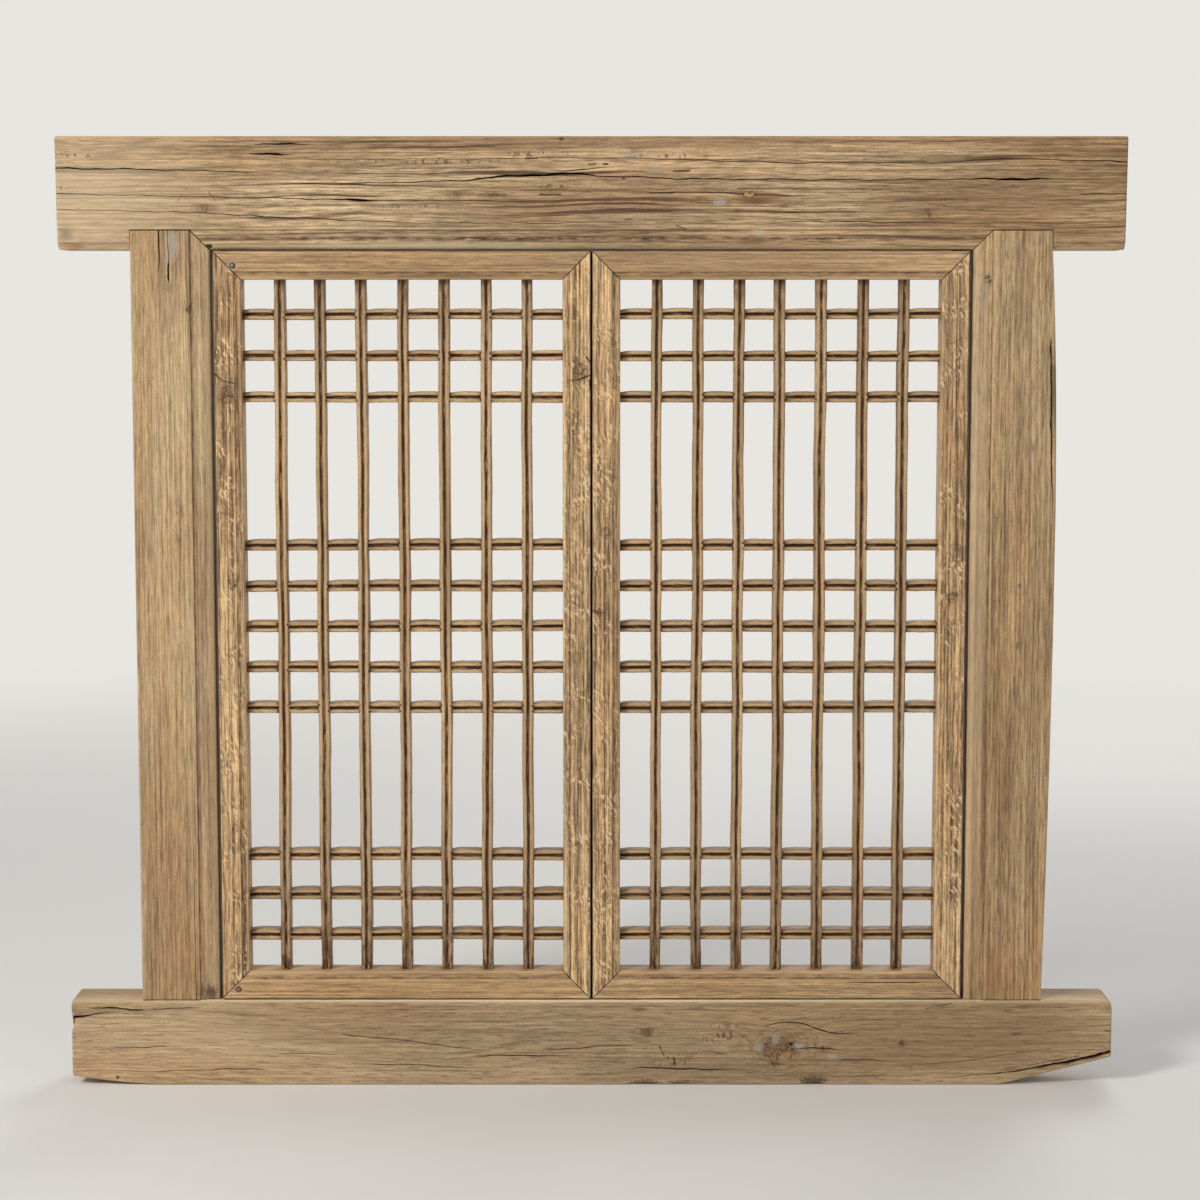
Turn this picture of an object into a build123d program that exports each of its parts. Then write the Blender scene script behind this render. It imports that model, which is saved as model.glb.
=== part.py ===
"""A timber window frame with a pair of lattice sashes, in millimetres.

The frame is four heavy timbers: a lintel and a sill with long horns, and two posts between them.
Each post is tenoned at both ends. At its head a front lap rises into the lintel as far as the moulding
is wide, and is cut at 45 degrees, so the moulding turns the corner in a mitre.
Each sash is two stiles and two rails, mitred on the face over a hidden tenon, and holds seven uprights
and eleven crossbars halved into each other. The crossbars stand in groups of three, five and three.
The hanging stile ends in round pintles that turn in the lintel and the sill, so a sash opens backwards.

The origin is on the floor under the middle of the frame. X runs along the sill, -Y is the face and Z is up.
"""

import os

from build123d import *

# Frame timbers
frame_length = 1200.0
frame_depth = 56.0
lintel_height = 126.0
sill_height = 100.0
post_width = 89.0
right_post_bow = 8.0
right_post_bow_height = 590.0
opening_width = 857.0
opening_height = 858.0

# Worn and adzed ends of the long timbers
lintel_end_rake = 2.5
lintel_corner_round = 5.0
lintel_corner_cut = 2.5
sill_toe_run = 120.0
sill_toe_rise = 11.0
sill_heel_run = 130.0
sill_heel_rise = 33.0
sill_heel_blend = 60.0
sill_nose_round = 14.0
sill_corner_round = 4.0
sill_arris_round = 4.0

# Moulding along the lintel's lower arris and the posts' inner arrises
moulding_width = 22.0
moulding_quirk = 1.8
moulding_hollow = 1.3
moulding_nose = 8.0
moulding_drop = 5.6

# Joints between the posts and the long timbers
lap_thickness = 18.0
lap_gap = 0.5
post_tenon_width = 54.0
post_tenon_thickness = 16.0
post_tenon_length = 60.0
joint_clearance = 0.2

# Sash timbers
side_gap = 2.5
meeting_gap = 1.0
sash_gap = 1.0
sash_recess = 1.5
sash_thickness = 36.0
sash_stock = 32.0
sash_face_depth = 12.0
sash_tenon_thickness = 10.0
sash_tenon_width = 20.0
sash_tenon_length = 24.0

# Small moulding on the inner edge of the sash timbers
sash_moulding_width = 8.0
sash_moulding_quirk = 0.9
sash_moulding_drop = 3.2

# Pintles of the hanging stiles
pintle_radius = 7.0
pintle_length = 18.0
pintle_inset = 12.0
pintle_clearance = 0.1
pintle_end_clearance = 0.3

# Lattice bars
bar_width = 11.5
bar_depth = 19.0
bar_setback = 13.0
bar_ridge_offset = 2.9
bar_ridge_fall = 1.3
bar_groove_depth = 2.4
bar_tenon_length = 9.0
bar_tenon_thickness = 12.0
bar_housing = 6.0
upright_count = 7
end_row_count = 3
middle_row_count = 5
row_pitch = 45.5

# Nails through two corners of the left sash
nail_from_side = 19.0
nail_from_edge = 11.5
upper_nail_from_side = 23.0
upper_nail_from_edge = 16.5
nail_shank = 3.0
nail_length = 26.0
nail_head_radius = 3.0
nail_head_height = 1.3
nail_head_sides = 8
nail_clearance = 0.1

# Places that follow from the sizes
front = -frame_depth / 2
half_length = frame_length / 2
half_opening = opening_width / 2
lintel_bottom = sill_height + opening_height
lintel_top = lintel_bottom + lintel_height
post_middle = half_opening + post_width / 2
frame_face = Plane.XZ.offset(-front)

sash_width = (opening_width - 2 * side_gap - meeting_gap) / 2
sash_height = opening_height - 2 * sash_gap
sash_bottom = sill_height + sash_gap
sash_front = front + sash_recess
sash_face = Plane.XZ.offset(-sash_front)
hanging_edge = half_opening - side_gap
pintle_y = sash_front + sash_thickness - pintle_inset

inner_width = sash_width - 2 * sash_stock
inner_height = sash_height - 2 * sash_stock
bar_front = sash_front + bar_setback
bar_back = bar_front + bar_depth
cell_gap = (inner_width - upright_count * bar_width) / (upright_count + 1)
bar_pitch = cell_gap + bar_width
first_bar = cell_gap + bar_width / 2
upright_offsets = [sash_stock + first_bar + i * bar_pitch for i in range(upright_count)]
lower_rows = [sash_stock + first_bar + i * row_pitch for i in range(end_row_count)]
first_middle_row = (sash_height - (middle_row_count - 1) * row_pitch) / 2
middle_rows = [first_middle_row + i * row_pitch for i in range(middle_row_count)]
upper_rows = [sash_height - offset for offset in reversed(lower_rows)]
row_offsets = lower_rows + middle_rows + upper_rows


def sash_x(side, offset):
    """Where a point lies, given how far it is from the hanging edge of the sash on that side."""
    return side * (hanging_edge - offset)


def keep(piece, name):
    """Names a finished piece and writes it."""
    piece.part.label = name
    export_step(piece.part, f"parts/{name}.step")


def frame_moulding_lines():
    """The waste cut from an arris: a quirk, a hollow and a rounded nose. Local X runs along the face."""
    quirk_foot = (moulding_width, moulding_quirk)
    hollow_middle = ((moulding_width + moulding_nose) / 2, moulding_quirk + moulding_hollow)
    nose_top = (moulding_nose, moulding_quirk)
    nose_foot = (0, moulding_drop)
    Polyline(nose_foot, (0, 0), (moulding_width, 0), quirk_foot)
    ThreePointArc(quirk_foot, hollow_middle, nose_top)
    TangentArc(nose_top, nose_foot, tangent=(-1, 0))


def sash_moulding_lines():
    """The waste cut from the inner arris of a sash timber: a small quirk and a rounded fall."""
    quirk_foot = (sash_moulding_width, sash_moulding_quirk)
    edge_foot = (0, sash_moulding_drop)
    Polyline(edge_foot, (0, 0), (sash_moulding_width, 0), quirk_foot)
    TangentArc(quirk_foot, edge_foot, tangent=(-1, 0))


def post_lap_lines(side):
    """The face of the lap at a post's head, with its inner corner cut along the mitre."""
    inner = side * half_opening
    mitre_head = side * (half_opening + moulding_width)
    outer = side * (half_opening + post_width)
    lap_top = lintel_bottom + moulding_width
    foot = [(outer, lintel_bottom), (inner, lintel_bottom)]
    Polyline(*foot, (mitre_head, lap_top), (outer, lap_top), close=True)


def cut_post_mortises(height, align):
    """Blind mortises for both posts' tenons, opening at the given height."""
    with Locations((-post_middle, 0, height), (post_middle, 0, height)):
        Box(
            post_tenon_width + 2 * joint_clearance,
            post_tenon_thickness + 2 * joint_clearance,
            post_tenon_length + joint_clearance,
            align=(Align.CENTER, Align.CENTER, align),
            mode=Mode.SUBTRACT,
        )


def cut_pintle_sockets(height, depth, align):
    """Round sockets in which the hanging stiles turn, opening at the given height."""
    places = [(sash_x(side, pintle_inset), pintle_y, height) for side in (-1, 1)]
    with Locations(*places):
        Cylinder(
            pintle_radius + pintle_clearance,
            depth,
            align=(Align.CENTER, Align.CENTER, align),
            mode=Mode.SUBTRACT,
        )


def make_lintel():
    with BuildPart() as lintel:
        with BuildSketch(frame_face):
            lower_half = half_length - lintel_end_rake
            with BuildLine():
                Polyline(
                    (-half_length, lintel_top),
                    (half_length, lintel_top),
                    (lower_half, lintel_bottom),
                    (-lower_half, lintel_bottom),
                    close=True,
                )
            make_face()
            fillet(vertices().group_by(Axis.Y)[-1], lintel_corner_round)
            chamfer(vertices().group_by(Axis.Y)[0], lintel_corner_cut)
        extrude(amount=-frame_depth)
        with BuildSketch(Plane(origin=(0, front, lintel_bottom), x_dir=(0, 0, 1), z_dir=(-1, 0, 0))):
            with BuildLine():
                frame_moulding_lines()
            make_face()
        extrude(amount=half_length, both=True, mode=Mode.SUBTRACT)
        for side in (-1, 1):
            with BuildSketch(frame_face):
                with BuildLine():
                    post_lap_lines(side)
                make_face()
                offset(amount=lap_gap, kind=Kind.INTERSECTION)
            extrude(amount=-lap_thickness, mode=Mode.SUBTRACT)
        cut_post_mortises(lintel_bottom, Align.MIN)
        cut_pintle_sockets(lintel_bottom, pintle_length, Align.MIN)
    return lintel


def make_sill():
    top_corners = [(half_length, sill_height), (-half_length, sill_height)]
    toe = (-half_length, sill_toe_rise)
    toe_end = (sill_toe_run - half_length, 0)
    heel_start = (half_length - sill_heel_run, 0)
    heel = (half_length, sill_heel_rise)
    with BuildPart() as sill:
        with BuildSketch(frame_face):
            with BuildLine():
                Polyline(toe_end, heel_start, heel, *top_corners, toe)
                TangentArc(toe_end, toe, tangent=(-1, 0))
            make_face()
            fillet(vertices().group_by(Axis.Y)[-1].sort_by(Axis.X)[-1], sill_nose_round)
            fillet(vertices().group_by(Axis.Y)[-1].sort_by(Axis.X)[0], sill_corner_round)
            fillet(vertices().group_by(Axis.Y)[0].sort_by(Axis.X)[-1], sill_heel_blend)
        extrude(amount=-frame_depth)
        with BuildSketch(Plane(origin=(0, front, sill_height), x_dir=(0, 1, 0), z_dir=(1, 0, 0))):
            with BuildLine():
                Polyline((0, -sill_arris_round), (0, 0), (sill_arris_round, 0))
                TangentArc((sill_arris_round, 0), (0, -sill_arris_round), tangent=(-1, 0))
            make_face()
        extrude(amount=half_length, both=True, mode=Mode.SUBTRACT)
        cut_post_mortises(sill_height, Align.MAX)
        cut_pintle_sockets(sill_height, pintle_length - sash_gap + pintle_end_clearance, Align.MAX)
    return sill


def make_post(side):
    inner = side * half_opening
    outer = side * (half_opening + post_width)
    bow = right_post_bow if side == 1 else 0
    with BuildPart() as post:
        with BuildSketch(frame_face):
            with BuildLine():
                Polyline(
                    (outer, sill_height),
                    (inner, sill_height),
                    (inner, lintel_bottom),
                    (outer, lintel_bottom),
                )
                if bow > 0:
                    fullest = (outer + bow, sill_height + right_post_bow_height)
                    TangentArc(fullest, (outer, lintel_bottom), tangent=(0, 1))
                    TangentArc(fullest, (outer, sill_height), tangent=(0, -1))
                else:
                    Line((outer, lintel_bottom), (outer, sill_height))
            make_face()
        extrude(amount=-frame_depth)
        with BuildSketch(frame_face):
            with BuildLine():
                post_lap_lines(side)
            make_face()
        extrude(amount=joint_clearance - lap_thickness)
        with Locations((side * post_middle, 0, lintel_bottom)):
            Box(
                post_tenon_width,
                post_tenon_thickness,
                post_tenon_length,
                align=(Align.CENTER, Align.CENTER, Align.MIN),
            )
        with Locations((side * post_middle, 0, sill_height)):
            Box(
                post_tenon_width,
                post_tenon_thickness,
                post_tenon_length,
                align=(Align.CENTER, Align.CENTER, Align.MAX),
            )
        arris = (inner, front, sill_height)
        with BuildSketch(Plane(origin=arris, x_dir=(side, 0, 0), z_dir=(0, 0, side))):
            with BuildLine():
                frame_moulding_lines()
            make_face()
        extrude(amount=side * (opening_height + moulding_width), mode=Mode.SUBTRACT)
    return post


def cut_nail_holes(side):
    """Square holes for the two nails at the hanging corners of the left sash."""
    if side == 1:
        return
    places = [
        (sash_x(side, nail_from_side), sash_front, sash_bottom + nail_from_edge),
        (sash_x(side, upper_nail_from_side), sash_front, sash_bottom + sash_height - upper_nail_from_edge),
    ]
    with Locations(*places):
        Box(
            nail_shank + 2 * nail_clearance,
            nail_length + nail_clearance,
            nail_shank + 2 * nail_clearance,
            align=(Align.CENTER, Align.MIN, Align.CENTER),
            mode=Mode.SUBTRACT,
        )


def make_stile(side, hanging):
    outer = 0 if hanging else sash_width
    inward = 1 if hanging else -1
    inner = outer + inward * sash_stock
    toward = side * -inward
    with BuildPart() as stile:
        with BuildSketch(sash_face):
            with BuildLine():
                Polyline(
                    (sash_x(side, outer), sash_bottom),
                    (sash_x(side, inner), sash_bottom + sash_stock),
                    (sash_x(side, inner), sash_bottom + sash_height - sash_stock),
                    (sash_x(side, outer), sash_bottom + sash_height),
                    close=True,
                )
            make_face()
        extrude(amount=-sash_face_depth)
        with Locations((sash_x(side, (outer + inner) / 2), sash_front + sash_face_depth, sash_bottom)):
            Box(
                sash_stock,
                sash_thickness - sash_face_depth,
                sash_height,
                align=(Align.CENTER, Align.MIN, Align.MIN),
            )
        if hanging:
            turning_arris = edges().filter_by(Axis.Z).group_by(Axis.Y)[-1].sort_by(Axis.X)
            fillet(turning_arris[-1 if side == 1 else 0], pintle_inset)
            pintle_x = sash_x(side, pintle_inset)
            with Locations((pintle_x, pintle_y, sash_bottom + sash_height)):
                Cylinder(pintle_radius, pintle_length, align=(Align.CENTER, Align.CENTER, Align.MIN))
            with Locations((pintle_x, pintle_y, sash_bottom)):
                Cylinder(pintle_radius, pintle_length, align=(Align.CENTER, Align.CENTER, Align.MAX))
        inner_x = sash_x(side, inner)
        arris = (inner_x, sash_front, sash_bottom)
        with BuildSketch(Plane(origin=arris, x_dir=(-toward, 0, 0), z_dir=(0, 0, -toward))):
            with BuildLine():
                sash_moulding_lines()
            make_face()
        extrude(amount=-toward * sash_height, mode=Mode.SUBTRACT)
        mortise_align = Align.MIN if toward == -1 else Align.MAX
        rail_places = [(inner_x, sash_front + sash_face_depth, sash_bottom + offset)
                       for offset in (sash_stock / 2, sash_height - sash_stock / 2)]
        with Locations(*rail_places):
            Box(
                sash_tenon_length + joint_clearance,
                sash_tenon_thickness + joint_clearance,
                sash_tenon_width + 2 * joint_clearance,
                align=(mortise_align, Align.MIN, Align.CENTER),
                mode=Mode.SUBTRACT,
            )
        bar_places = [(inner_x, bar_front + bar_depth / 2, sash_bottom + row) for row in row_offsets]
        with Locations(*bar_places):
            Box(
                bar_housing + joint_clearance,
                bar_depth + 2 * joint_clearance,
                bar_width + 2 * joint_clearance,
                align=(mortise_align, Align.CENTER, Align.CENTER),
                mode=Mode.SUBTRACT,
            )
        if hanging:
            cut_nail_holes(side)
    return stile


def make_rail(side, top):
    outer = sash_bottom + (sash_height if top else 0)
    inward = -1 if top else 1
    inner = outer + inward * sash_stock
    with BuildPart() as rail:
        with BuildSketch(sash_face):
            with BuildLine():
                Polyline(
                    (sash_x(side, 0), outer),
                    (sash_x(side, sash_stock), inner),
                    (sash_x(side, sash_width - sash_stock), inner),
                    (sash_x(side, sash_width), outer),
                    close=True,
                )
            make_face()
        extrude(amount=-sash_face_depth)
        middle = (sash_x(side, sash_width / 2), sash_front + sash_face_depth, (outer + inner) / 2)
        with Locations(middle):
            Box(
                inner_width,
                sash_thickness - sash_face_depth,
                sash_stock,
                align=(Align.CENTER, Align.MIN, Align.CENTER),
            )
            Box(
                inner_width + 2 * sash_tenon_length,
                sash_tenon_thickness,
                sash_tenon_width,
                align=(Align.CENTER, Align.MIN, Align.CENTER),
            )
        arris = (middle[0], sash_front, inner)
        with BuildSketch(Plane(origin=arris, x_dir=(0, 0, -inward), z_dir=(inward, 0, 0))):
            with BuildLine():
                sash_moulding_lines()
            make_face()
        extrude(amount=sash_width / 2, both=True, mode=Mode.SUBTRACT)
        mortise_align = Align.MIN if top else Align.MAX
        tenon_y = bar_back - bar_tenon_thickness / 2
        places = [(sash_x(side, offset), tenon_y, inner) for offset in upright_offsets]
        with Locations(*places):
            Box(
                bar_width + 2 * joint_clearance,
                bar_tenon_thickness + 2 * joint_clearance,
                bar_tenon_length + joint_clearance,
                align=(Align.CENTER, Align.CENTER, mortise_align),
                mode=Mode.SUBTRACT,
            )
        cut_nail_holes(side)
    return rail


def bar_section_lines():
    """Section of a lattice bar: two ridges with a groove between them. Local Y runs back from the face."""
    half = bar_width / 2
    Polyline(
        (-half, bar_depth),
        (-half, bar_ridge_fall),
        (-bar_ridge_offset, 0),
        (0, bar_groove_depth),
        (bar_ridge_offset, 0),
        (half, bar_ridge_fall),
        (half, bar_depth),
        close=True,
    )


def make_upright(side, offset):
    """An upright runs unbroken on the face and is notched from the back over each crossbar."""
    x = sash_x(side, offset)
    shoulder = sash_bottom + sash_stock
    length = inner_height + 2 * bar_tenon_length
    with BuildPart() as upright:
        with BuildSketch(Plane(origin=(x, bar_front, shoulder - bar_tenon_length))):
            with BuildLine():
                bar_section_lines()
            make_face()
        extrude(amount=length)
        with Locations(*[(x, bar_front + bar_depth / 2, sash_bottom + row) for row in row_offsets]):
            Box(
                bar_width,
                bar_depth / 2,
                bar_width + 2 * joint_clearance,
                align=(Align.CENTER, Align.MIN, Align.CENTER),
                mode=Mode.SUBTRACT,
            )
        for height, align in ((shoulder, Align.MAX), (shoulder + inner_height, Align.MIN)):
            with Locations((x, bar_front, height)):
                Box(
                    bar_width,
                    bar_depth - bar_tenon_thickness,
                    bar_tenon_length,
                    align=(Align.CENTER, Align.MIN, align),
                    mode=Mode.SUBTRACT,
                )
    return upright


def make_crossbar(side, row):
    """A crossbar is notched from the face at each upright and let into both stiles at its full section."""
    z = sash_bottom + row
    middle = sash_x(side, sash_width / 2)
    length = inner_width + 2 * bar_housing
    with BuildPart() as crossbar:
        with BuildSketch(Plane(origin=(middle, bar_front, z), x_dir=(0, 0, 1), z_dir=(-1, 0, 0))):
            with BuildLine():
                bar_section_lines()
            make_face()
        extrude(amount=length / 2, both=True)
        half_depth = bar_front + bar_depth / 2
        with Locations(*[(sash_x(side, offset), half_depth, z) for offset in upright_offsets]):
            Box(
                bar_width + 2 * joint_clearance,
                bar_depth / 2,
                bar_width,
                align=(Align.CENTER, Align.MAX, Align.CENTER),
                mode=Mode.SUBTRACT,
            )
    return crossbar


def make_nail(from_side, height):
    """A forged nail: a square shank under a low many-sided head that sits on the rail."""
    x = sash_x(-1, from_side)
    with BuildPart() as nail:
        with Locations((x, sash_front, height)):
            Box(nail_shank, nail_length, nail_shank, align=(Align.CENTER, Align.MIN, Align.CENTER))
        with BuildSketch(sash_face):
            with Locations((x, height)):
                RegularPolygon(nail_head_radius, nail_head_sides)
        extrude(amount=nail_head_height, taper=30)
    return nail


os.makedirs("parts", exist_ok=True)
keep(make_lintel(), "lintel")
keep(make_sill(), "sill")
for side, hand in ((-1, "left"), (1, "right")):
    keep(make_post(side), f"{hand}_post")
    keep(make_stile(side, True), f"{hand}_sash_hanging_stile")
    keep(make_stile(side, False), f"{hand}_sash_meeting_stile")
    keep(make_rail(side, True), f"{hand}_sash_top_rail")
    keep(make_rail(side, False), f"{hand}_sash_bottom_rail")
    for number, offset in enumerate(upright_offsets, start=1):
        keep(make_upright(side, offset), f"{hand}_sash_upright_{number}")
    for number, row in enumerate(row_offsets, start=1):
        keep(make_crossbar(side, row), f"{hand}_sash_crossbar_{number:02d}")
keep(make_nail(nail_from_side, sash_bottom + nail_from_edge), "left_sash_lower_nail")
keep(make_nail(upper_nail_from_side, sash_bottom + sash_height - upper_nail_from_edge), "left_sash_upper_nail")
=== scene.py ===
# %% [markdown]
# # An old lattice window
#
# The object is a timber window frame with a pair of lattice sashes, the kind that once closed a farmhouse wall.
# Four heavy timbers make the frame. Each sash is two stiles and two rails with mitred corners, filled with a
# lattice of thin bars that are halved into each other. The wood is dry, worn and full of cracks.
#
# The solids of every piece come ready made. This script loads them, keeps their sizes, and puts a worn and
# detailed piece over each one. All lengths of the making are in millimetres, because that is how a joiner
# thinks, and they become metres at the moment a mesh is written.

import math

import bmesh
import bpy
import numpy as np
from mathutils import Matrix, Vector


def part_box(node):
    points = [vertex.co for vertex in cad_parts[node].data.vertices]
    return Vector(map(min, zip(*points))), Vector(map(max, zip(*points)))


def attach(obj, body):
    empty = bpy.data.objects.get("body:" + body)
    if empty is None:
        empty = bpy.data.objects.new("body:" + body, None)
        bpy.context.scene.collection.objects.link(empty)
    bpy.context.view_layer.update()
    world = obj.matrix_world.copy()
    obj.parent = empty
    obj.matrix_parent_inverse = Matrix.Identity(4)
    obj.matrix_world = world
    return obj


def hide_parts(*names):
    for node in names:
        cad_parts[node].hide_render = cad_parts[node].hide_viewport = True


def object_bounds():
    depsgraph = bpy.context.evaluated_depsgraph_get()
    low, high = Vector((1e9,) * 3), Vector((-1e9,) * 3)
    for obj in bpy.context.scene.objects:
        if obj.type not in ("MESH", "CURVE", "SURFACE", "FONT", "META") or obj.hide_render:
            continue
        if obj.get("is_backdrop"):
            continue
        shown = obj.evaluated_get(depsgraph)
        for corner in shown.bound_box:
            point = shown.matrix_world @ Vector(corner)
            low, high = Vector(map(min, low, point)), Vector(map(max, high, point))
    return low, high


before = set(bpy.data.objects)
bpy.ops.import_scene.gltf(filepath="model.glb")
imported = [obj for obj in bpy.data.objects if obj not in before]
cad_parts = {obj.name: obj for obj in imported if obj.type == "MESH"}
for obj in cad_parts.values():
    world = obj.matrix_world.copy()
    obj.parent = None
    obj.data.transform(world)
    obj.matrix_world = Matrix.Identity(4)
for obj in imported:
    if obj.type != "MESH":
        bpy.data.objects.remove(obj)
cad_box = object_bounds()
MM = 0.001

# %% [markdown]
# ## Camera
#
# The window was seen from about three metres away by a camera a little above its middle, looking down by a few
# degrees. That is why its posts lean together towards the floor. A camera with the same height, tilt and lens
# gives the same leaning lines without bending anything.

# %% Place the camera
eye = bpy.data.cameras.new("eye")
eye.sensor_width = 36.0
eye.lens = 2745.0 / 1200.0 * eye.sensor_width
eye.clip_end = 60.0
camera = bpy.data.objects.new("eye", eye)
camera.location = (9.65 * MM, -3128.0 * MM, 880.0 * MM)
camera.rotation_euler = (math.radians(90.0 - 5.83), 0.0, 0.0)
bpy.context.collection.objects.link(camera)
bpy.context.scene.camera = camera
print("lens", round(eye.lens, 2), "mm")

# %% [markdown]
# ## Sizes
#
# The solids say where everything goes. Their boxes are read here once, in millimetres, and every worn piece is
# drawn inside the box of the solid that it replaces.

# %% Read the sizes of the timbers
def span(node):
    """The lowest and highest X, Y and Z of a solid, in millimetres."""
    low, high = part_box(node)
    return [(low[axis] / MM, high[axis] / MM) for axis in range(3)]


_, lintel_y, lintel_z = span("lintel")
sill_x, _, sill_z = span("sill")
post_x, _, _ = span("left_post")
stile_x, stile_y, _ = span("left_sash_hanging_stile")
meeting_x, _, sash_z = span("left_sash_meeting_stile")
upright_x, bar_y, _ = span("left_sash_upright_1")
FRAME_FRONT = lintel_y[0]
FRAME_DEPTH = lintel_y[1] - lintel_y[0]
HALF_LENGTH = sill_x[1]
HALF_OPENING = -post_x[1]
POST_WIDTH = post_x[1] - post_x[0]
SASH_FRONT = stile_y[0]
SASH_DEPTH = stile_y[1] - stile_y[0]
STOCK = stile_x[1] - stile_x[0]
HANGING_EDGE = -stile_x[0]
MEETING_EDGE = -meeting_x[1]
BAR_WIDTH = upright_x[1] - upright_x[0]
BAR_DEPTH = bar_y[1] - bar_y[0]
BAR_FRONT = bar_y[0]
MOULDING = 22.0
LAP = 18.0
MITRE_LAYER = 12.0
print(f"opening {2 * HALF_OPENING:.1f} mm wide, sash {HANGING_EDGE - MEETING_EDGE:.1f} mm, bars {BAR_WIDTH:.1f} mm")

# %% [markdown]
# ## Worn timber as a skin of rows
#
# A plank could be a subdivided box with a noise on it, but real cracks run with the grain, and a plain grid
# cuts across them and makes them look like stairs. Here each timber is a skin of long rows, like the strings
# of a loom. The rows run with the grain and go once round the section. Where a crack runs, five rows bend to
# follow it and dip down into it, so the crack stays crisp with few faces. Each row also carries how dark,
# polished or rubbed the wood is there, and where painted shade lies on it near a gap between parts, and the
# finish reads that later.

# %% A skin of rows
MARKS = ("crack", "patina", "wear")
ROW_FACTS = ("f", "d", *MARKS)


class Skin:
    """Rows that run along a timber. f is across the face, d is depth behind it and a is along the grain."""

    def __init__(self, along):
        self.a = np.asarray(along, float)
        self.rows = {fact: [] for fact in ROW_FACTS}

    def add(self, f, d, crack=0.0, patina=0.0, wear=0.0):
        for fact, value in zip(ROW_FACTS, (f, d, crack, patina, wear)):
            self.rows[fact].append(np.broadcast_to(np.asarray(value, float), self.a.shape).copy())

    def grid(self, fact):
        return np.array(self.rows[fact]).T


def along_grain(start, end, spacing, ease=0.0):
    """Places along a timber, crowded where its ends roll over (ease) or meet another timber."""
    near = ease * (1 - np.cos(np.radians([0, 22, 45, 68]))) if ease else np.array([0.0, 0.5, 1.3])
    reach = ease or 2.6
    count = max(2, int(round((end - start - 2 * reach) / spacing)) + 1)
    return np.concatenate([start + near, np.linspace(start + reach, end - reach, count), end - near[::-1]])


def swell(at, centre, width):
    """A smooth hump of height 1."""
    return np.exp(-(((at - centre) / width) ** 2))


def round_off(reach, radius):
    """How far a rounded corner has drawn in, where reach runs from 0 to its radius."""
    return radius - np.sqrt(np.maximum(radius ** 2 - reach ** 2, 0.0))


def ripple(a, f, seed, length=90.0, width=26.0):
    """The slight hollows that a hand plane leaves, between 0 and 1."""
    random = np.random.default_rng(seed)
    total = 0.0
    for _ in range(7):
        wave_a, wave_f = random.uniform(0.4, 2.2, 2)
        total = total + np.sin(2 * math.pi * (wave_a * a / length + wave_f * f / width) + random.uniform(0, 6.3))
    return np.clip(0.5 + total / 9.0, 0.0, 1.0)


def ragged(a, seed, length=12.0):
    """An uneven edge: a sum of short waves, between 0 and 1."""
    random = np.random.default_rng(seed)
    total = 0.0
    for octave in range(6):
        wave = np.sin(2 * math.pi * a * 1.83 ** octave / (6 * length) + random.uniform(0, 6.3))
        total = total + wave / (1 + 0.6 * octave)
    return np.clip(0.5 + total / 5.0, 0.0, 1.0)


def smooth_line(values, reach):
    """Softens the corners of a line that was drawn with a few straight strokes."""
    kernel = np.hanning(2 * reach + 1)[1:-1]
    padded = np.pad(values, len(kernel) // 2, mode="edge")
    return np.convolve(padded, kernel / kernel.sum(), mode="valid")[: len(values)]


def dent_depth(dents, a, f):
    """How deep the surface lies at a place, from a list of (along, across, half length, half width, depth)."""
    hollows = (deep * swell(a, at, length) * swell(f, across, width) for at, across, length, width, deep in dents)
    return sum(hollows, 0.0)


def soften_seams(skin, depth=0.55):
    """Breaks the front arris at both ends, so that a joint shows as a fine dark groove."""
    dip, dark = np.zeros(len(skin.a)), np.zeros(len(skin.a))
    dip[:3], dip[-3:] = (depth, 0.28 * depth, 0.0), (0.0, 0.28 * depth, depth)
    dark[:2], dark[-2:] = (0.95, 0.1), (0.1, 0.95)
    for d, crack in zip(skin.rows["d"], skin.rows["crack"]):
        if d.mean() < 6.0:
            d += dip
            np.maximum(crack, dark, out=crack)


print("rows carry:", ", ".join(ROW_FACTS))

# %% [markdown]
# A crack is drawn as a few points with a half width at each. Between two cracks the rows are spread evenly, so
# the whole face follows the grain.

# %% Rows over a face
LIP = 0.06
CRACK_SECTION = ((-1.0, 0.0, 0.0), (-0.62, 0.7, 0.9), (0.0, 1.0, 1.0), (0.62, 0.7, 0.9), (1.0, 0.0, 0.0))


def crack_path(points, a, seed):
    """Where a crack runs at each place along the grain, and its half width there."""
    drawn = np.array(points, float)
    across = smooth_line(np.interp(a, drawn[:, 0], drawn[:, 1]), 5)
    half = np.interp(a, drawn[:, 0], drawn[:, 2])
    wander = 0.45 * np.sin(a * 0.083 + seed) + 0.3 * np.sin(a * 0.21 + 2.1 * seed) + 0.15 * np.sin(a * 0.61 + seed)
    half = half * (0.7 + 0.6 * ragged(a, int(10 * seed), 5.0))
    return across + wander * np.minimum(1.0, half / 0.4), half


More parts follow.
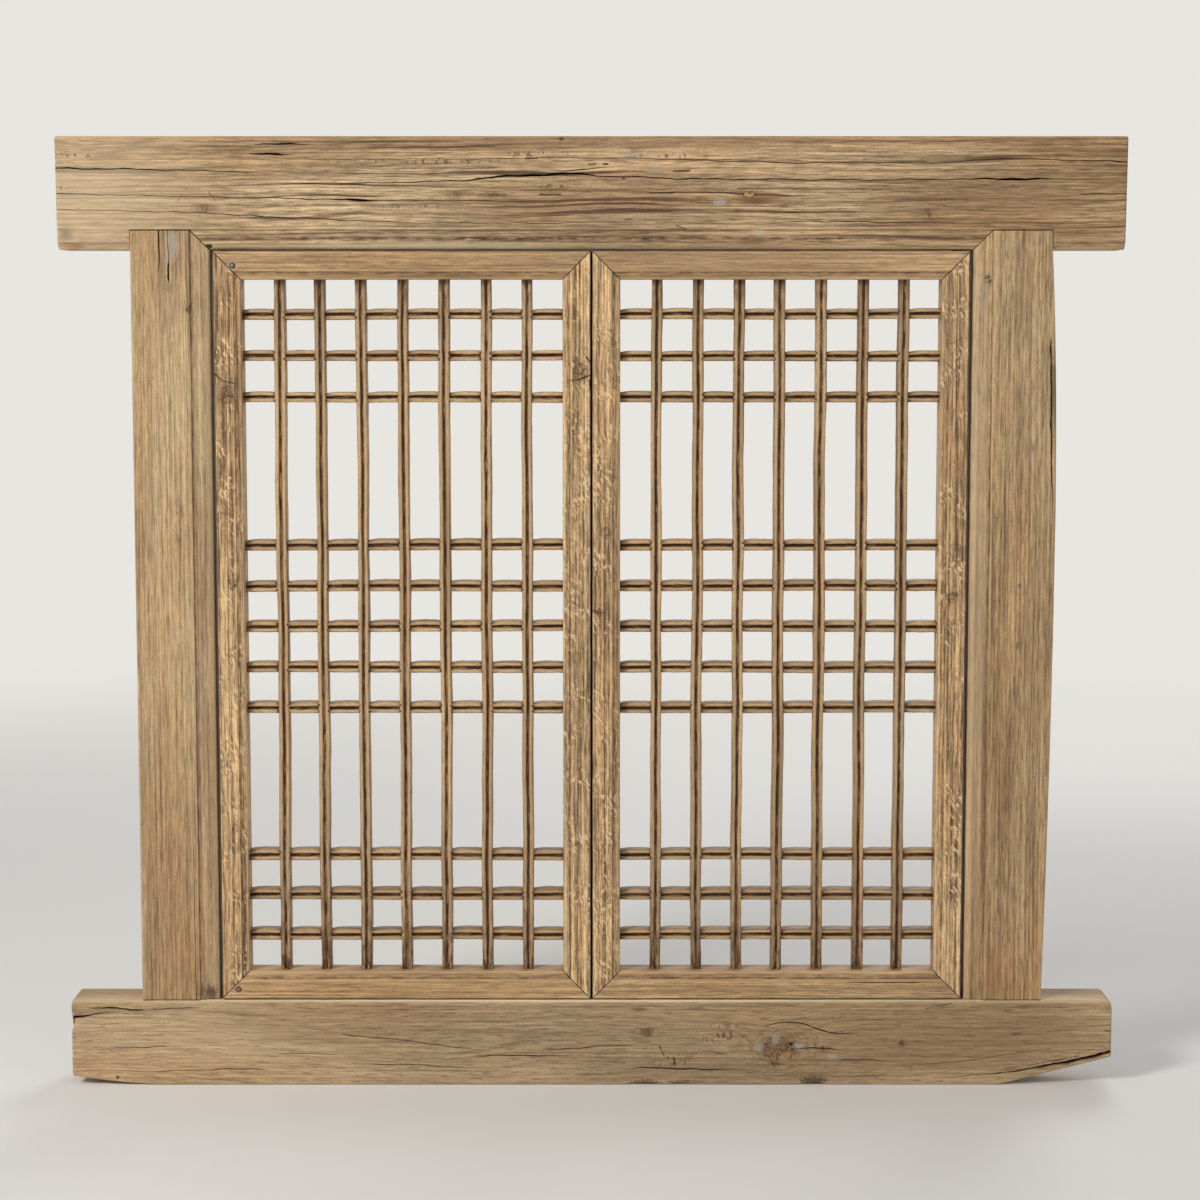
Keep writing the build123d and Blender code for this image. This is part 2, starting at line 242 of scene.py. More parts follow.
def face_rows(skin, low, high, cracks, spacing, seed, uneven, dents):
    """Lays rows over the front face, from low to high, bending them along the cracks."""
    a = skin.a
    low, high = (np.broadcast_to(np.asarray(edge, float), a.shape) for edge in (low, high))

    def surface(f):
        edge = np.minimum(1.0, np.minimum(f - low, high - f) / 6.0).clip(0.0)
        return uneven * ripple(a, f, seed) * edge + dent_depth(dents, a, f)

    def spread(start, stop, first):
        count = max(1, int(round(float(np.mean(stop - start)) / spacing)))
        for step in range(first, count):
            f = start + (stop - start) * step / count
            skin.add(f, surface(f))

    reached = low
    for number, points in enumerate(cracks):
        centre, half = crack_path(points, a, seed + 3.7 * number)
        room = half + 1.0
        centre = np.clip(np.maximum(centre, reached + room), low + room, high - room)
        spread(reached, centre - half - LIP, 1 if number else 0)
        deep = np.minimum(9.0 * half, 8.0)
        for offset, share, dark in CRACK_SECTION:
            f = centre + offset * (half + LIP)
            skin.add(f, surface(f) + share * deep, crack=dark * np.minimum(1.0, half / 0.12))
        reached = centre + half + LIP
    spread(reached, high, 1 if cracks else 0)
    skin.add(high, surface(high))


def arris_rows(skin, f_edge, radius, gap_shade=0.0, rising=False):
    """Rolls the rows over a front arris, down to the side or (rising) back up from it."""
    for turn in (18, 45, 72):
        out = 90 - turn if rising else turn
        # Painted shade on the arris where it turns into a gap between parts: black where it is strongest, brown below
        # that.
        shade = gap_shade * (out / 72.0) ** 2
        angle = math.radians(out)
        skin.add(f_edge + (radius if rising else -radius) * (1 - math.sin(angle)), radius * (1 - math.cos(angle)),
                 crack=0.97 * (shade > 0.55) + 0.3 * (0.55 > shade > 0.1), patina=shade, wear=0.8 * (1 - shade / 1.6))


def plain_rows(skin, f_start, f_end, d_start, d_end, count, seed, f_dip=0.0, d_dip=0.0, gap_shade=0.0):
    """Rows over a hidden or quiet side, slightly uneven, with painted shade near the front where it faces a gap."""
    for share in np.arange(count + 1) / count:
        f = f_start + (f_end - f_start) * share
        d = d_start + (d_end - d_start) * share
        bump = ripple(skin.a, f + d + 40.0, seed + 5)
        behind = float(np.mean(d))
        skin.add(f + f_dip * bump, d + d_dip * bump, crack=0.95 * swell(behind, 0.0, 5.0) * (gap_shade > 1.2),
                 patina=gap_shade * swell(behind, 0.0, 12.0))


print("a crack takes", len(CRACK_SECTION), "rows")

# %% [markdown]
# The rows go once round a timber: moulding, face, outer side, back and inner side. At its ends they are drawn
# in, if the timber is worn round there.

# %% Rows round a timber
ROLL_BACK = 1.2


def round_section(skin, low, high, depth, seed, cracks, spacing, uneven, mould=None, dents=(), roll_high=2.0,
                  roll_low=2.0, back_rows=8, side_rows=9, gap_shade_high=0.0, gap_shade_low=0.0):
    """Takes the rows once round a timber whose face lies between low and high."""
    face_low, stop = low + roll_low, roll_low
    if mould:
        for across, deep, patina, wear in mould:
            skin.add(low + across, deep + dent_depth(dents, skin.a, low + across), patina=patina, wear=wear)
        face_low, stop = low + mould[-1][0] + 0.6, mould[0][1] + 0.5
    face_rows(skin, face_low, high - roll_high, cracks, spacing, seed, uneven, dents)
    arris_rows(skin, high, roll_high, gap_shade_high)
    back = depth - ROLL_BACK
    plain_rows(skin, high, high, roll_high, back, side_rows, seed, f_dip=-0.35, gap_shade=gap_shade_high)
    rolls = [(ROLL_BACK * (1 - math.cos(turn)), ROLL_BACK * (1 - math.sin(turn))) for turn in np.radians((22, 68))]
    for near, far in rolls:
        skin.add(high - near, depth - far, wear=0.5)
    plain_rows(skin, high - ROLL_BACK, low + ROLL_BACK, depth, depth, back_rows, seed + 1, d_dip=-0.4)
    for near, far in rolls:
        skin.add(low + far, depth - near, wear=0.5)
    plain_rows(skin, low, low, back, stop, side_rows, seed + 2, f_dip=0.3, gap_shade=gap_shade_low)
    if not mould:
        arris_rows(skin, low, roll_low, rising=True)


def ease_ends(skin, start, end, ease, depth):
    """Rolls both ends of a timber over, by drawing the last sections in."""
    inset = round_off(np.maximum(start + ease - skin.a, skin.a - (end - ease)).clip(0.0), ease)
    f = skin.grid("f")
    middle, half = (f.max(1) + f.min(1)) / 2, (f.max(1) - f.min(1)) / 2
    for f_row, d_row in zip(skin.rows["f"], skin.rows["d"]):
        f_row[:] = middle + (f_row - middle) * (1 - inset / half)
        d_row[:] = depth / 2 + (d_row - depth / 2) * (1 - 2 * inset / depth)


print("the back arrises roll over by", ROLL_BACK, "mm")

# %% [markdown]
# A finished skin becomes a closed mesh. Its ends are capped with rings that shrink to the middle, and some of
# the spokes between the rings are pushed in, which gives the star of drying checks that end grain has.

# %% From skin to mesh
CAP_RINGS = 7


def triangles(mesh):
    return sum(len(face.vertices) - 2 for face in mesh.polygons)


def shade(mesh, angle=40):
    """Smooth shading that stops at arrises sharper than the angle."""
    mesh.shade_smooth()
    mesh.set_sharp_from_angle(angle=math.radians(angle))


def place_mesh(name, mesh):
    """Puts a mesh into the scene as an object."""
    piece = bpy.data.objects.new(name, mesh)
    bpy.context.collection.objects.link(piece)
    return piece


def close_skin(name, skin, to_world, a_grid=None, checks=(0, 0), seed=1):
    """Writes the skin as a closed mesh object with its facts as attributes."""
    random = np.random.default_rng(seed)
    grid = {fact: skin.grid(fact) for fact in ROW_FACTS}
    width = grid["f"].shape[1]
    grid["a"] = np.broadcast_to(skin.a[:, None], grid["f"].shape) if a_grid is None else a_grid
    grid["end"] = np.zeros_like(grid["f"])

    def cap(section, inward, spokes):
        """Rings that shrink to the middle of one end, as far as the last one before the tip."""
        edge = {key: values[section] for key, values in grid.items()}
        split = np.zeros(width)
        for spoke in random.choice(width, spokes, replace=False) if spokes else []:
            split[spoke] = random.uniform(0.5, 1.0)
        shrink = 1 - np.arange(1, CAP_RINGS)[:, None] / CAP_RINGS
        rings = {key: edge[key].mean() + (edge[key] - edge[key].mean()) * shrink for key in "fd"}
        deep = split * 3.5 * (0.4 + 0.6 * shrink)
        rings["a"] = edge["a"] + inward * (deep + 0.35 * random.random(deep.shape))
        blank = np.zeros(deep.shape)
        return {**rings, "crack": blank + (split > 0), "patina": blank, "wear": blank, "end": blank + 1}

    first, last = cap(0, 1.0, checks[0]), cap(-1, -1.0, checks[1])
    flat = {}
    for key in grid:
        stack = np.concatenate([first[key][::-1], grid[key], last[key]])
        tips = [stack[0].mean(), stack[-1].mean()] if key in "afd" else [float(key == "end")] * 2
        flat[key] = np.concatenate([stack.ravel(), tips])
    count = len(stack)
    here = np.arange(width)
    beside = (here + 1) % width
    row = np.arange(count - 1)[:, None] * width
    quads = np.stack([row + here, row + beside, row + beside + width, row + here + width], axis=-1).reshape(-1, 4)
    tip, start = count * width, (count - 1) * width
    pairs = list(zip(here.tolist(), beside.tolist()))
    fans = [(tip, after, at) for at, after in pairs] + [(tip + 1, start + at, start + after) for at, after in pairs]
    mesh = bpy.data.meshes.new(name)
    points = to_world(flat["a"], flat["f"], flat["d"]) * MM
    mesh.from_pydata(points.tolist(), [], quads.tolist() + fans)
    for fact in (*MARKS, "end"):
        mesh.attributes.new(fact, "FLOAT", "POINT").data.foreach_set("value", flat[fact].astype(np.float32))
    work = bmesh.new()
    work.from_mesh(mesh)
    if work.calc_volume(signed=True) < 0:
        bmesh.ops.reverse_faces(work, faces=work.faces)
    work.to_mesh(mesh)
    work.free()
    shade(mesh)
    print(f"{name}: {len(mesh.vertices)} points, {triangles(mesh)} triangles")
    return place_mesh(name, mesh)


def lying(front, flip=1.0):
    """World places of a timber that lies along X. flip is -1 where its inner edge is above."""
    return lambda a, f, d: np.stack([a, front + d, flip * f], axis=-1)


def standing(front, flip=1.0):
    """World places of a timber that stands along Z. flip is -1 where its inner edge is at the higher X."""
    return lambda a, f, d: np.stack([flip * f, front + d, a], axis=-1)


print("each end has", CAP_RINGS - 1, "rings and a tip")

# %% [markdown]
# ## Node short-hands
#
# Materials and Geometry Nodes are both trees of nodes. A few helpers keep the wiring short. A Signal is the
# output of a node, and plain arithmetic with it adds Math nodes, so a formula reads as a formula.

# %% Helpers for wiring nodes
class Signal:
    """An output of a node, which can be added, multiplied and so on."""

    def __init__(self, socket):
        self.socket, self.tree = socket, socket.id_data

    def __add__(self, other):
        return reckon("ADD", self, other)

    def __sub__(self, other):
        return reckon("SUBTRACT", self, other)

    def __rsub__(self, other):
        return reckon("SUBTRACT", other, self)

    def __mul__(self, other):
        return reckon("MULTIPLY", self, other)

    def __truediv__(self, other):
        return reckon("DIVIDE", self, other)

    def __pow__(self, other):
        return reckon("POWER", self, other)


def plug(node, ins):
    """Fills a node's inputs, by name or number, with fixed values or signals."""
    for key, value in ins.items():
        if isinstance(value, Signal):
            value.tree.links.new(value.socket, node.inputs[key])
        else:
            node.inputs[key].default_value = value


def wire(tree, kind, ins=(), output=0, **settings):
    """Makes a node with its settings and inputs. Gives one output, or all of them by name if output is None."""
    node = tree.nodes.new(kind)
    for key, value in settings.items():
        setattr(node, key, value)
    plug(node, dict(ins))
    if output is None:
        return {socket.name: Signal(socket) for socket in node.outputs}
    return Signal(node.outputs[output])


def tree_of(values):
    return next(value.tree for value in values if isinstance(value, Signal))


def is_vector(value):
    return isinstance(value, tuple) or isinstance(value, Signal) and value.socket.type in ("VECTOR", "RGBA")


def reckon(operation, *values, output=0, **settings):
    """A Math node, or a Vector Math node where one of the values is a vector or a colour."""
    kind = "ShaderNodeVectorMath" if any(map(is_vector, values)) else "ShaderNodeMath"
    return wire(tree_of(values), kind, enumerate(values), output, operation=operation, **settings)


def length(vector):
    return reckon("LENGTH", vector, output=1)


def combine(*parts):
    """A vector from one, two or three numbers, the rest being 0."""
    return wire(tree_of(parts), "ShaderNodeCombineXYZ", enumerate(parts))


def blend(factor, first, second):
    """Mixes two colours."""
    return wire(factor.tree, "ShaderNodeMix", {0: factor, 6: first, 7: second}, 2, data_type="RGBA")


def remap(value, low, high, to_low=0.0, to_high=1.0, smooth=True):
    return wire(value.tree, "ShaderNodeMapRange", enumerate((value, low, high, to_low, to_high)),
                interpolation_type="SMOOTHSTEP" if smooth else "LINEAR")


def noise(place, scale, detail=2.0, rough=0.5, output=0):
    ins = {"Vector": place, "Scale": scale, "Detail": detail, "Roughness": rough}
    return wire(place.tree, "ShaderNodeTexNoise", ins, output)


SOCKETS = {float: "NodeSocketFloat", int: "NodeSocketInt", tuple: "NodeSocketVector", type(None): "NodeSocketMaterial"}


def start_group(name, inputs, kind="ShaderNodeTree"):
    """Starts a node group, whose inputs take their kind from the values that they start with."""
    tree = bpy.data.node_groups.new(name, kind)
    for label, value in inputs.items():
        socket = tree.interface.new_socket(label, in_out="INPUT", socket_type=SOCKETS[type(value)])
        if value is not None:
            socket.default_value = value
    return tree, wire(tree, "NodeGroupInput", output=None)


def give(tree, **results):
    """Ends a node group: makes its outputs and links the results to them."""
    for label, signal in results.items():
        kind = "NodeSocketGeometry" if signal.socket.type == "GEOMETRY" else "NodeSocketFloat"
        tree.interface.new_socket(label, in_out="OUTPUT", socket_type=kind)
    plug(tree.nodes.new("NodeGroupOutput"), results)
    print(f"{tree.name}: {len(tree.nodes)} nodes, gives {', '.join(results)}")
    return tree


print("socket kinds:", sorted(SOCKETS.values()))

# %% [markdown]
# ## Grain
#
# Wood is not a picture on a board. It is a stack of growth rings round a pith, and every face shows a cut
# through that stack. So the grain group works in space: it measures the distance to the pith, bends it with a
# slow noise, and turns it into rings. The same group then gives long lines on a face and arcs on an end,
# without any seam between them. Fibre, pores and slow clouds of colour are stretched along the grain.

# %% The grain group
ORIGIN = (0.0, 0.0, 0.0)


def build_grain():
    tree, given = start_group("grain", {"Vector": ORIGIN, "Pith": (0.0, 0.05, 0.09), "Ring Width": 0.0035,
                                        "Warp": 0.006, "Shift": 0.0, "Bend": 0.0, "Curl": 0.0003})
    shifted = given["Vector"] + combine(given["Shift"])

    def stretched(along, across, detail=2.0, rough=0.5):
        """Noise with so many waves to the metre along the grain and across it."""
        return noise(shifted * (along, across, across), 1.0, detail, rough)

    warped = length((given["Vector"] - given["Pith"]) * (0.02, 1.0, 1.0))
    warped = (stretched(2.2, 11.0) - 0.5) * (given["Warp"] * 6.0) + warped
    warped = (stretched(12.0, 80.0) - 0.5) * (given["Warp"] * 0.5) + warped + given["Bend"]
    figured = remap(stretched(9.0, 20.0, 1.0), 0.38, 0.62)
    warped = (stretched(55.0, 75.0, 2.0, 0.6) - 0.5) * figured * given["Curl"] * 4.0 + warped

    def late_wood(width, steepness):
        """Dark lines that grow slowly and end sharply, once in each ring."""
        saw = reckon("FRACT", warped / width)
        return saw ** steepness * remap(saw, 0.9, 1.0, 1.0, 0.0)

    uneven = stretched(3.0, 60.0)
    along = wire(tree, "ShaderNodeSeparateXYZ", {0: shifted})
    thread = noise(combine(along * 1.8, warped * 270.0), 1.0, 2.0, 0.45)
    kept = remap(stretched(5.0, 24.0, 1.0), 0.4, 0.58, 0.15, 1.0)
    return give(
        tree,
        Rings=late_wood(given["Ring Width"], 3.6) * remap(uneven, 0.36, 0.6),
        Lines=late_wood(given["Ring Width"] * 0.62, 2.2) * remap(uneven, 0.66, 0.36, 0.25, 1.0),
        Fibre=stretched(42.0, 480.0, 1.0) * 0.48 + stretched(4.0, 330.0, 1.0) * 0.58,
        Pores=remap(stretched(60.0, 560.0, 1.0), 0.61, 0.7),
        Clouds=stretched(2.6, 12.0),
        Streaks=remap(stretched(2.6, 105.0, 3.0, 0.62), 0.5, 0.68) * remap(stretched(4.5, 14.0), 0.42, 0.6),
        Threads=remap(thread, 0.57, 0.64) * kept,
        Glints=remap(thread, 0.42, 0.34) * kept,
        Weather=remap(stretched(1.9, 9.0, 1.0), 0.46, 0.68),
        Warmth=remap(stretched(2.6, 17.0), 0.5, 0.7))


grain_group = build_grain()

# %% [markdown]
# Knots, filler spots, nail stains and short scratches are marks at known places. One group makes a soft-edged
# ellipse, one makes a pen stroke between two points, and one makes a healed knot: swirling dark lines round a
# core, with drying cracks in it. All read space, so a mark sits on the wood from any side.

# %% Marks on the wood
def from_centre(given):
    """How far a place lies from an ellipse's centre, as a share of its half sizes."""
    return length((given["Vector"] - given["Centre"]) / given["Size"])


def build_spot():
    tree, given = start_group("spot", {"Vector": ORIGIN, "Centre": ORIGIN, "Size": (1.0, 1.0, 1.0), "Soft": 0.4,
                                       "Ragged": 0.3})
    distance = (noise(given["Vector"], 420.0) - 0.5) * given["Ragged"] + from_centre(given)
    return give(tree, Mask=remap(distance, 1.0, 1.0 - given["Soft"]))


def build_stroke():
    tree, given = start_group("stroke", {"Vector": ORIGIN, "Start": ORIGIN, "End": (1.0, 0.0, 0.0), "Width": 0.001})
    whole, part = given["End"] - given["Start"], given["Vector"] - given["Start"]
    dots = [reckon("DOT_PRODUCT", first, whole, output=1) for first in (part, whole)]
    share = reckon("DIVIDE", *dots, use_clamp=True)
    nearest = wire(tree, "ShaderNodeVectorMath", {0: whole, "Scale": share}, operation="SCALE")
    thin = given["Width"] * (noise(given["Vector"], 600.0) * 1.2 + 0.3)
    return give(tree, Mask=remap(length(part - nearest), thin, thin * 0.35, smooth=False))


def build_knot():
    tree, given = start_group("knot", {"Vector": ORIGIN, "Centre": ORIGIN, "Size": (1.0, 1.0, 1.0), "Turns": 4.0})
    place = given["Vector"]
    distance = (noise(place, 85.0, 3.0, 0.6) - 0.5) * 1.1 + from_centre(given)
    core = remap(distance, 1.05, 0.75)
    saw = reckon("FRACT", distance * given["Turns"])
    shaken = noise(place, 200.0, output=1) * (0.012, 0.012, 0.012) + place
    cell = wire(tree, "ShaderNodeTexVoronoi", {"Vector": shaken, "Scale": 95.0}, feature="DISTANCE_TO_EDGE")
    return give(tree, Core=core, Swirl=saw ** 2.2 * remap(saw, 0.88, 1.0, 1.0, 0.0) * remap(distance, 2.6, 0.9),
                Checks=remap(cell, 0.07, 0.02) * core)


knot_group, spot_group, stroke_group = build_knot(), build_spot(), build_stroke()

# %% [markdown]
# ## The wood finish
#
# Every timber gets its own wood, made from the same groups with its own tones, ring width and marks. The pale
# and dark tones are mixed by the clouds, the late wood of the rings and the streaks darken them, and then the
# facts that the rows carry are laid on top: black in the cracks, brown polish in the hollows of a moulding,
# painted shade in its quirk, along the gaps between parts and at the ends of the bars, and a pale rub on the
# arrises. Marks are listed in millimetres, as short rows:
#
# - a spot is x, z, half length, half height, colour, strength, softness, and perhaps raggedness and a push on
#   the rings round it
# - a stroke is x and z of both ends and its width
# - a knot is x, z, half length, half height, turns and strength

# %% Build a wood
def linear(red, green, blue):
    """A colour as an eye names it, 0 to 255, turned into the linear values that a shader wants."""
    shares = (red / 255.0, green / 255.0, blue / 255.0)
    return (*(share / 12.92 if share <= 0.04045 else ((share + 0.055) / 1.055) ** 2.4 for share in shares), 1.0)


# The first tone on the next line is the near black of cracks and of painted shade along gaps; the second is the brown
# of polished hollows and of painted shade.
DARK_CRACK, POLISH_AND_SHADE, RUBBED = linear(24, 17, 12), linear(72, 44, 25), linear(214, 184, 138)
# The second tone on the next line is used for real stains and also paints shade into chips.
FILLER, STAIN_AND_SHADE, KNOT = linear(162, 150, 134), linear(70, 50, 34), linear(122, 82, 48)
GREYED, WARMED = linear(153, 137, 112), linear(174, 124, 76)
STREAK, THREAD, PORE, SWIRL = linear(92, 58, 34), linear(78, 50, 30), linear(84, 56, 34), linear(88, 58, 34)
PALE_FLECK, DARK_FLECK, CHATTER = linear(224, 194, 148), linear(104, 70, 42), linear(92, 62, 40)
THROUGH = 60.0
SPOT_REST = (0.3, 0.0)


def millimetres(*place):
    return tuple(value * MM for value in place)


def new_material(name):
    """A material with its tree, its Principled shader and the place on the object."""
    material = bpy.data.materials.new(name)
    material.use_nodes = True
    tree = material.node_tree
    return material, tree, tree.nodes["Principled BSDF"], wire(tree, "ShaderNodeTexCoord", output="Object")


def fact(tree, label):
    """A fact that the mesh carries at each point."""
    return wire(tree, "ShaderNodeAttribute", output="Fac", attribute_name=label)


def join_masks(first, second):
    return reckon("MAXIMUM", first, second)


def add_bump(tree, height, strength, distance):
    return wire(tree, "ShaderNodeBump", {"Height": height, "Strength": strength, "Distance": distance * MM})


def make_wood(name, upright, tones, ring_width, warp, pith, shift, rings, streaks, lines=0.4, fibres=0.3, pores=0.5,
              threads=0.6, speckles=0.12, curl=0.3, flecks=0.0, patina=0.75, roughness=0.6, tone_range=0.0,
              spots=(), strokes=(), knots=(), tool_zones=(), streak_zone=None, front=FRAME_FRONT):
    """A wood for timbers that stand (upright) or lie, with its own tones and marks."""
    material, tree, shader, place = new_material(name)

    def turned(vector, degrees):
        return wire(tree, "ShaderNodeMapping", {"Vector": vector, "Rotation": (0.0, math.radians(degrees), 0.0)})

    def mark(group, x, z, half_length, half_height, **others):
        """A spot or a knot on the front face."""
        ins = {"Vector": place, "Centre": millimetres(x, front, z),
               "Size": millimetres(half_length, THROUGH, half_height)}
        return wire(tree, "ShaderNodeGroup", {**ins, **others}, None, node_tree=group)

    laid = turned(place, 90.0) if upright else place
    bend, masks = 0.0, {}
    for spot in spots:
        x, z, half_length, half_height, tint, strength, soft, spread, push = *spot, *SPOT_REST[len(spot) - 7:]
        mask = mark(spot_group, x, z, half_length, half_height, Soft=soft, Ragged=spread)["Mask"] * strength
        masks[tint] = join_masks(masks[tint], mask) if tint in masks else mask
        if push:
            wide = mark(spot_group, x, z, 3.2 * half_length, 3.2 * half_height, Soft=1.0, Ragged=0.0)
            bend = wide["Mask"] * (push * MM) + bend

    grain = wire(tree, "ShaderNodeGroup", {
        "Vector": laid, "Pith": millimetres(0.0, *pith), "Ring Width": ring_width * MM, "Warp": warp * MM,
        "Shift": shift, "Curl": curl * MM, "Bend": bend}, None, node_tree=grain_group)
    pale, middle, dark = tones
    streaked = grain["Streaks"] * streaks
    if streak_zone:
        streaked = streaked * (mark(spot_group, *streak_zone, Soft=1.0, Ragged=0.2)["Mask"] * 0.85 + 0.15)
    colour = blend(remap(grain["Clouds"], 0.36, 0.64), middle, pale)
    for mask, tint in (
            (grain["Rings"] * rings, dark), (grain["Lines"] * lines, dark), (streaked, STREAK),
            (grain["Weather"] * 0.26, GREYED), (grain["Warmth"] * 0.28, WARMED),
            (grain["Glints"] * (0.5 * threads), pale), (grain["Threads"] * threads, THREAD)):
        colour = blend(mask, colour, tint)
    fibre = remap(grain["Fibre"], 0.37, 0.69, 1.0 - fibres, 1.0 + 0.85 * fibres, smooth=False)
    speckle = remap(noise(place, 480.0, 2.0, 0.7), 0.3, 0.7, 1.0 - speckles, 1.0 + speckles, smooth=False)
    tone = remap(fact(tree, "tone"), 0.0, 1.0, 1.0, 1.0 - tone_range, smooth=False)
    varied = fibre * speckle * tone
    colour = colour * combine(varied, varied, varied)

    layers = [(grain["Pores"] * pores, PORE)]
    if flecks:
        shaken = noise(laid * (36.0, 60.0, 60.0), 1.0, 1.0, output=1)
        ridges = noise(shaken * (2.0, 3.0, 3.0) + turned(laid, 24.0) * (150.0, 380.0, 380.0), 1.0, 1.0)
        figure = remap(noise(laid, 30.0, 1.0), 0.46, 0.6, 0.1, 1.0)
        layers.append((remap(ridges, 0.57, 0.62) * figure * flecks, PALE_FLECK))
        layers.append((remap(ridges, 0.44, 0.34) * figure * (0.5 * flecks), DARK_FLECK))
    checks = []
    for *oval, turns, strength in knots:
        knot = mark(knot_group, *oval, Turns=turns)
        layers += [(knot["Core"] * (0.55 * strength), KNOT), (knot["Swirl"] * (0.75 * strength), SWIRL)]
        checks.append(knot["Checks"] * strength)
    blotch = remap(noise(laid * (60.0, 240.0, 240.0), 1.0, 3.0, 0.6), 0.36, 0.62, 0.35, 1.0)
    # Brown of old polish in hollows, together with painted shade in quirks, along gaps and at the ends of the bars.
    polish_and_shade = reckon("MULTIPLY", fact(tree, "patina") * patina, blotch, use_clamp=True)
    layers += [(fact(tree, "wear") * 0.38, RUBBED), (polish_and_shade, POLISH_AND_SHADE), (fact(tree, "end") * 0.45, dark)]
    layers += [(mask, tint) for tint, mask in masks.items()]
    if tool_zones:
        chatter = remap(noise(place * (270.0, 270.0, 150.0), 1.0, 1.0), 0.55, 0.63)
    for zone in tool_zones:
        layers.append((chatter * mark(spot_group, *zone, Soft=1.0, Ragged=0.2)["Mask"] * 0.85, CHATTER))
    cracked = 0.0
    for x, z, end_x, end_z, width in strokes:
        cracked = join_masks(cracked, wire(tree, "ShaderNodeGroup", {
            "Vector": place, "Start": millimetres(x, front, z), "End": millimetres(end_x, front, end_z),
            "Width": width * MM}, node_tree=stroke_group))
    # The crack fact holds real cracks and also the black painted shade along the gaps between parts.
    split = fact(tree, "crack")
    for check in (*checks, split):
        cracked = join_masks(cracked, check)
    layers.append((cracked, DARK_CRACK))
    for mask, tint in layers:
        colour = blend(mask, colour, tint)

    height = grain["Fibre"] * 1.2 + grain["Rings"] * -0.5
    height = split * -1.5 + (grain["Pores"] * -0.6 + height)
    plug(shader, {
        "Base Color": colour, "Roughness": polish_and_shade * -0.18 + (grain["Fibre"] * 0.16 + (roughness - 0.08)),
        "Specular IOR Level": 0.32, "Normal": add_bump(tree, height, 0.75, 0.4)})
    return material


print("dark crack", tuple(round(share, 4) for share in DARK_CRACK))

# %% [markdown]
# ## Lintel
#
# The lintel is the heaviest timber. A hollow moulding runs along its lower arris from end to end, long cracks
# cross its face, and two knots sit right of the middle. Its ends were sawn with a slight rake. The cracks are
# drawn from the left end to the right end, in order from the lowest to the highest.

# %% Shape the lintel
FRAME_MOULD = [(0.0, 6.3), (0.5, 5.5), (1.8, 4.4), (3.8, 3.2), (5.8, 2.4), (7.2, 1.9), (8.1, 1.95), (9.0, 2.25),
               (10.2, 2.5), (12.5, 3.0), (15.0, 3.1), (17.5, 2.85), (19.6, 2.4), (20.8, 2.1), (21.6, 1.9), (22.3, 0.9),
               (22.8, 0.2), (23.6, 0.0), (25.0, 0.0)]
FRAME_WEAR = {0.5: 0.9, 1.8: 0.9, 3.8: 0.6, 5.8: 0.4, 7.2: 0.5, 23.6: 0.6, 25.0: 0.2}
SOUND = 7.5
FRAME_SPACING = 2.3


def frame_mould(darkening, soften=0.0):
    """The moulding's rows, darkened as the given function says, with old polish and painted shade. soften flattens it
    where it has worn away.
    """
    return [(across, deep * (1 - soften) if across > SOUND else deep, darkening(across), FRAME_WEAR.get(across, 0.0))
            for across, deep in FRAME_MOULD]


def past_posts(a):
    """0 between the posts, and 1 on the horns outside them."""
    return ((np.abs(a) - HALF_OPENING - POST_WIDTH + 4.0) / 8.0).clip(0.0, 1.0)


def lintel_dirt(a):
    """Old polish darkens the hollow between the posts, the horns are darker low down, and a thin line of painted shade
    lies in the quirk.
    """
    horn = past_posts(a)
    patchy = 0.5 + 0.6 * ragged(a, 77, 30.0) + 0.25 * swell(a, -130.0, 130.0)
    return lambda across: (0.6 * swell(across, 21.6, 0.8) * (1 - 0.9 * horn) + 0.9 * swell(across, 6.6, 2.2) * horn
                           + 1.5 * swell(across, 12.6, 2.8) * patchy * (1 - horn))


def post_dirt(a):
    """On the posts the quirk is a thin dark line of painted shade, with a reddish streak beside it."""
    patchy = 0.55 + 0.8 * ragged(a, 78, 30.0)
    return lambda across: (1.2 * swell(across, 21.7, 0.7) + 0.14 * swell(across, 14.0, 3.0)
                           + (0.5 * swell(across, 19.4, 1.5) + 0.55 * swell(across, 8.4, 1.1)) * patchy)


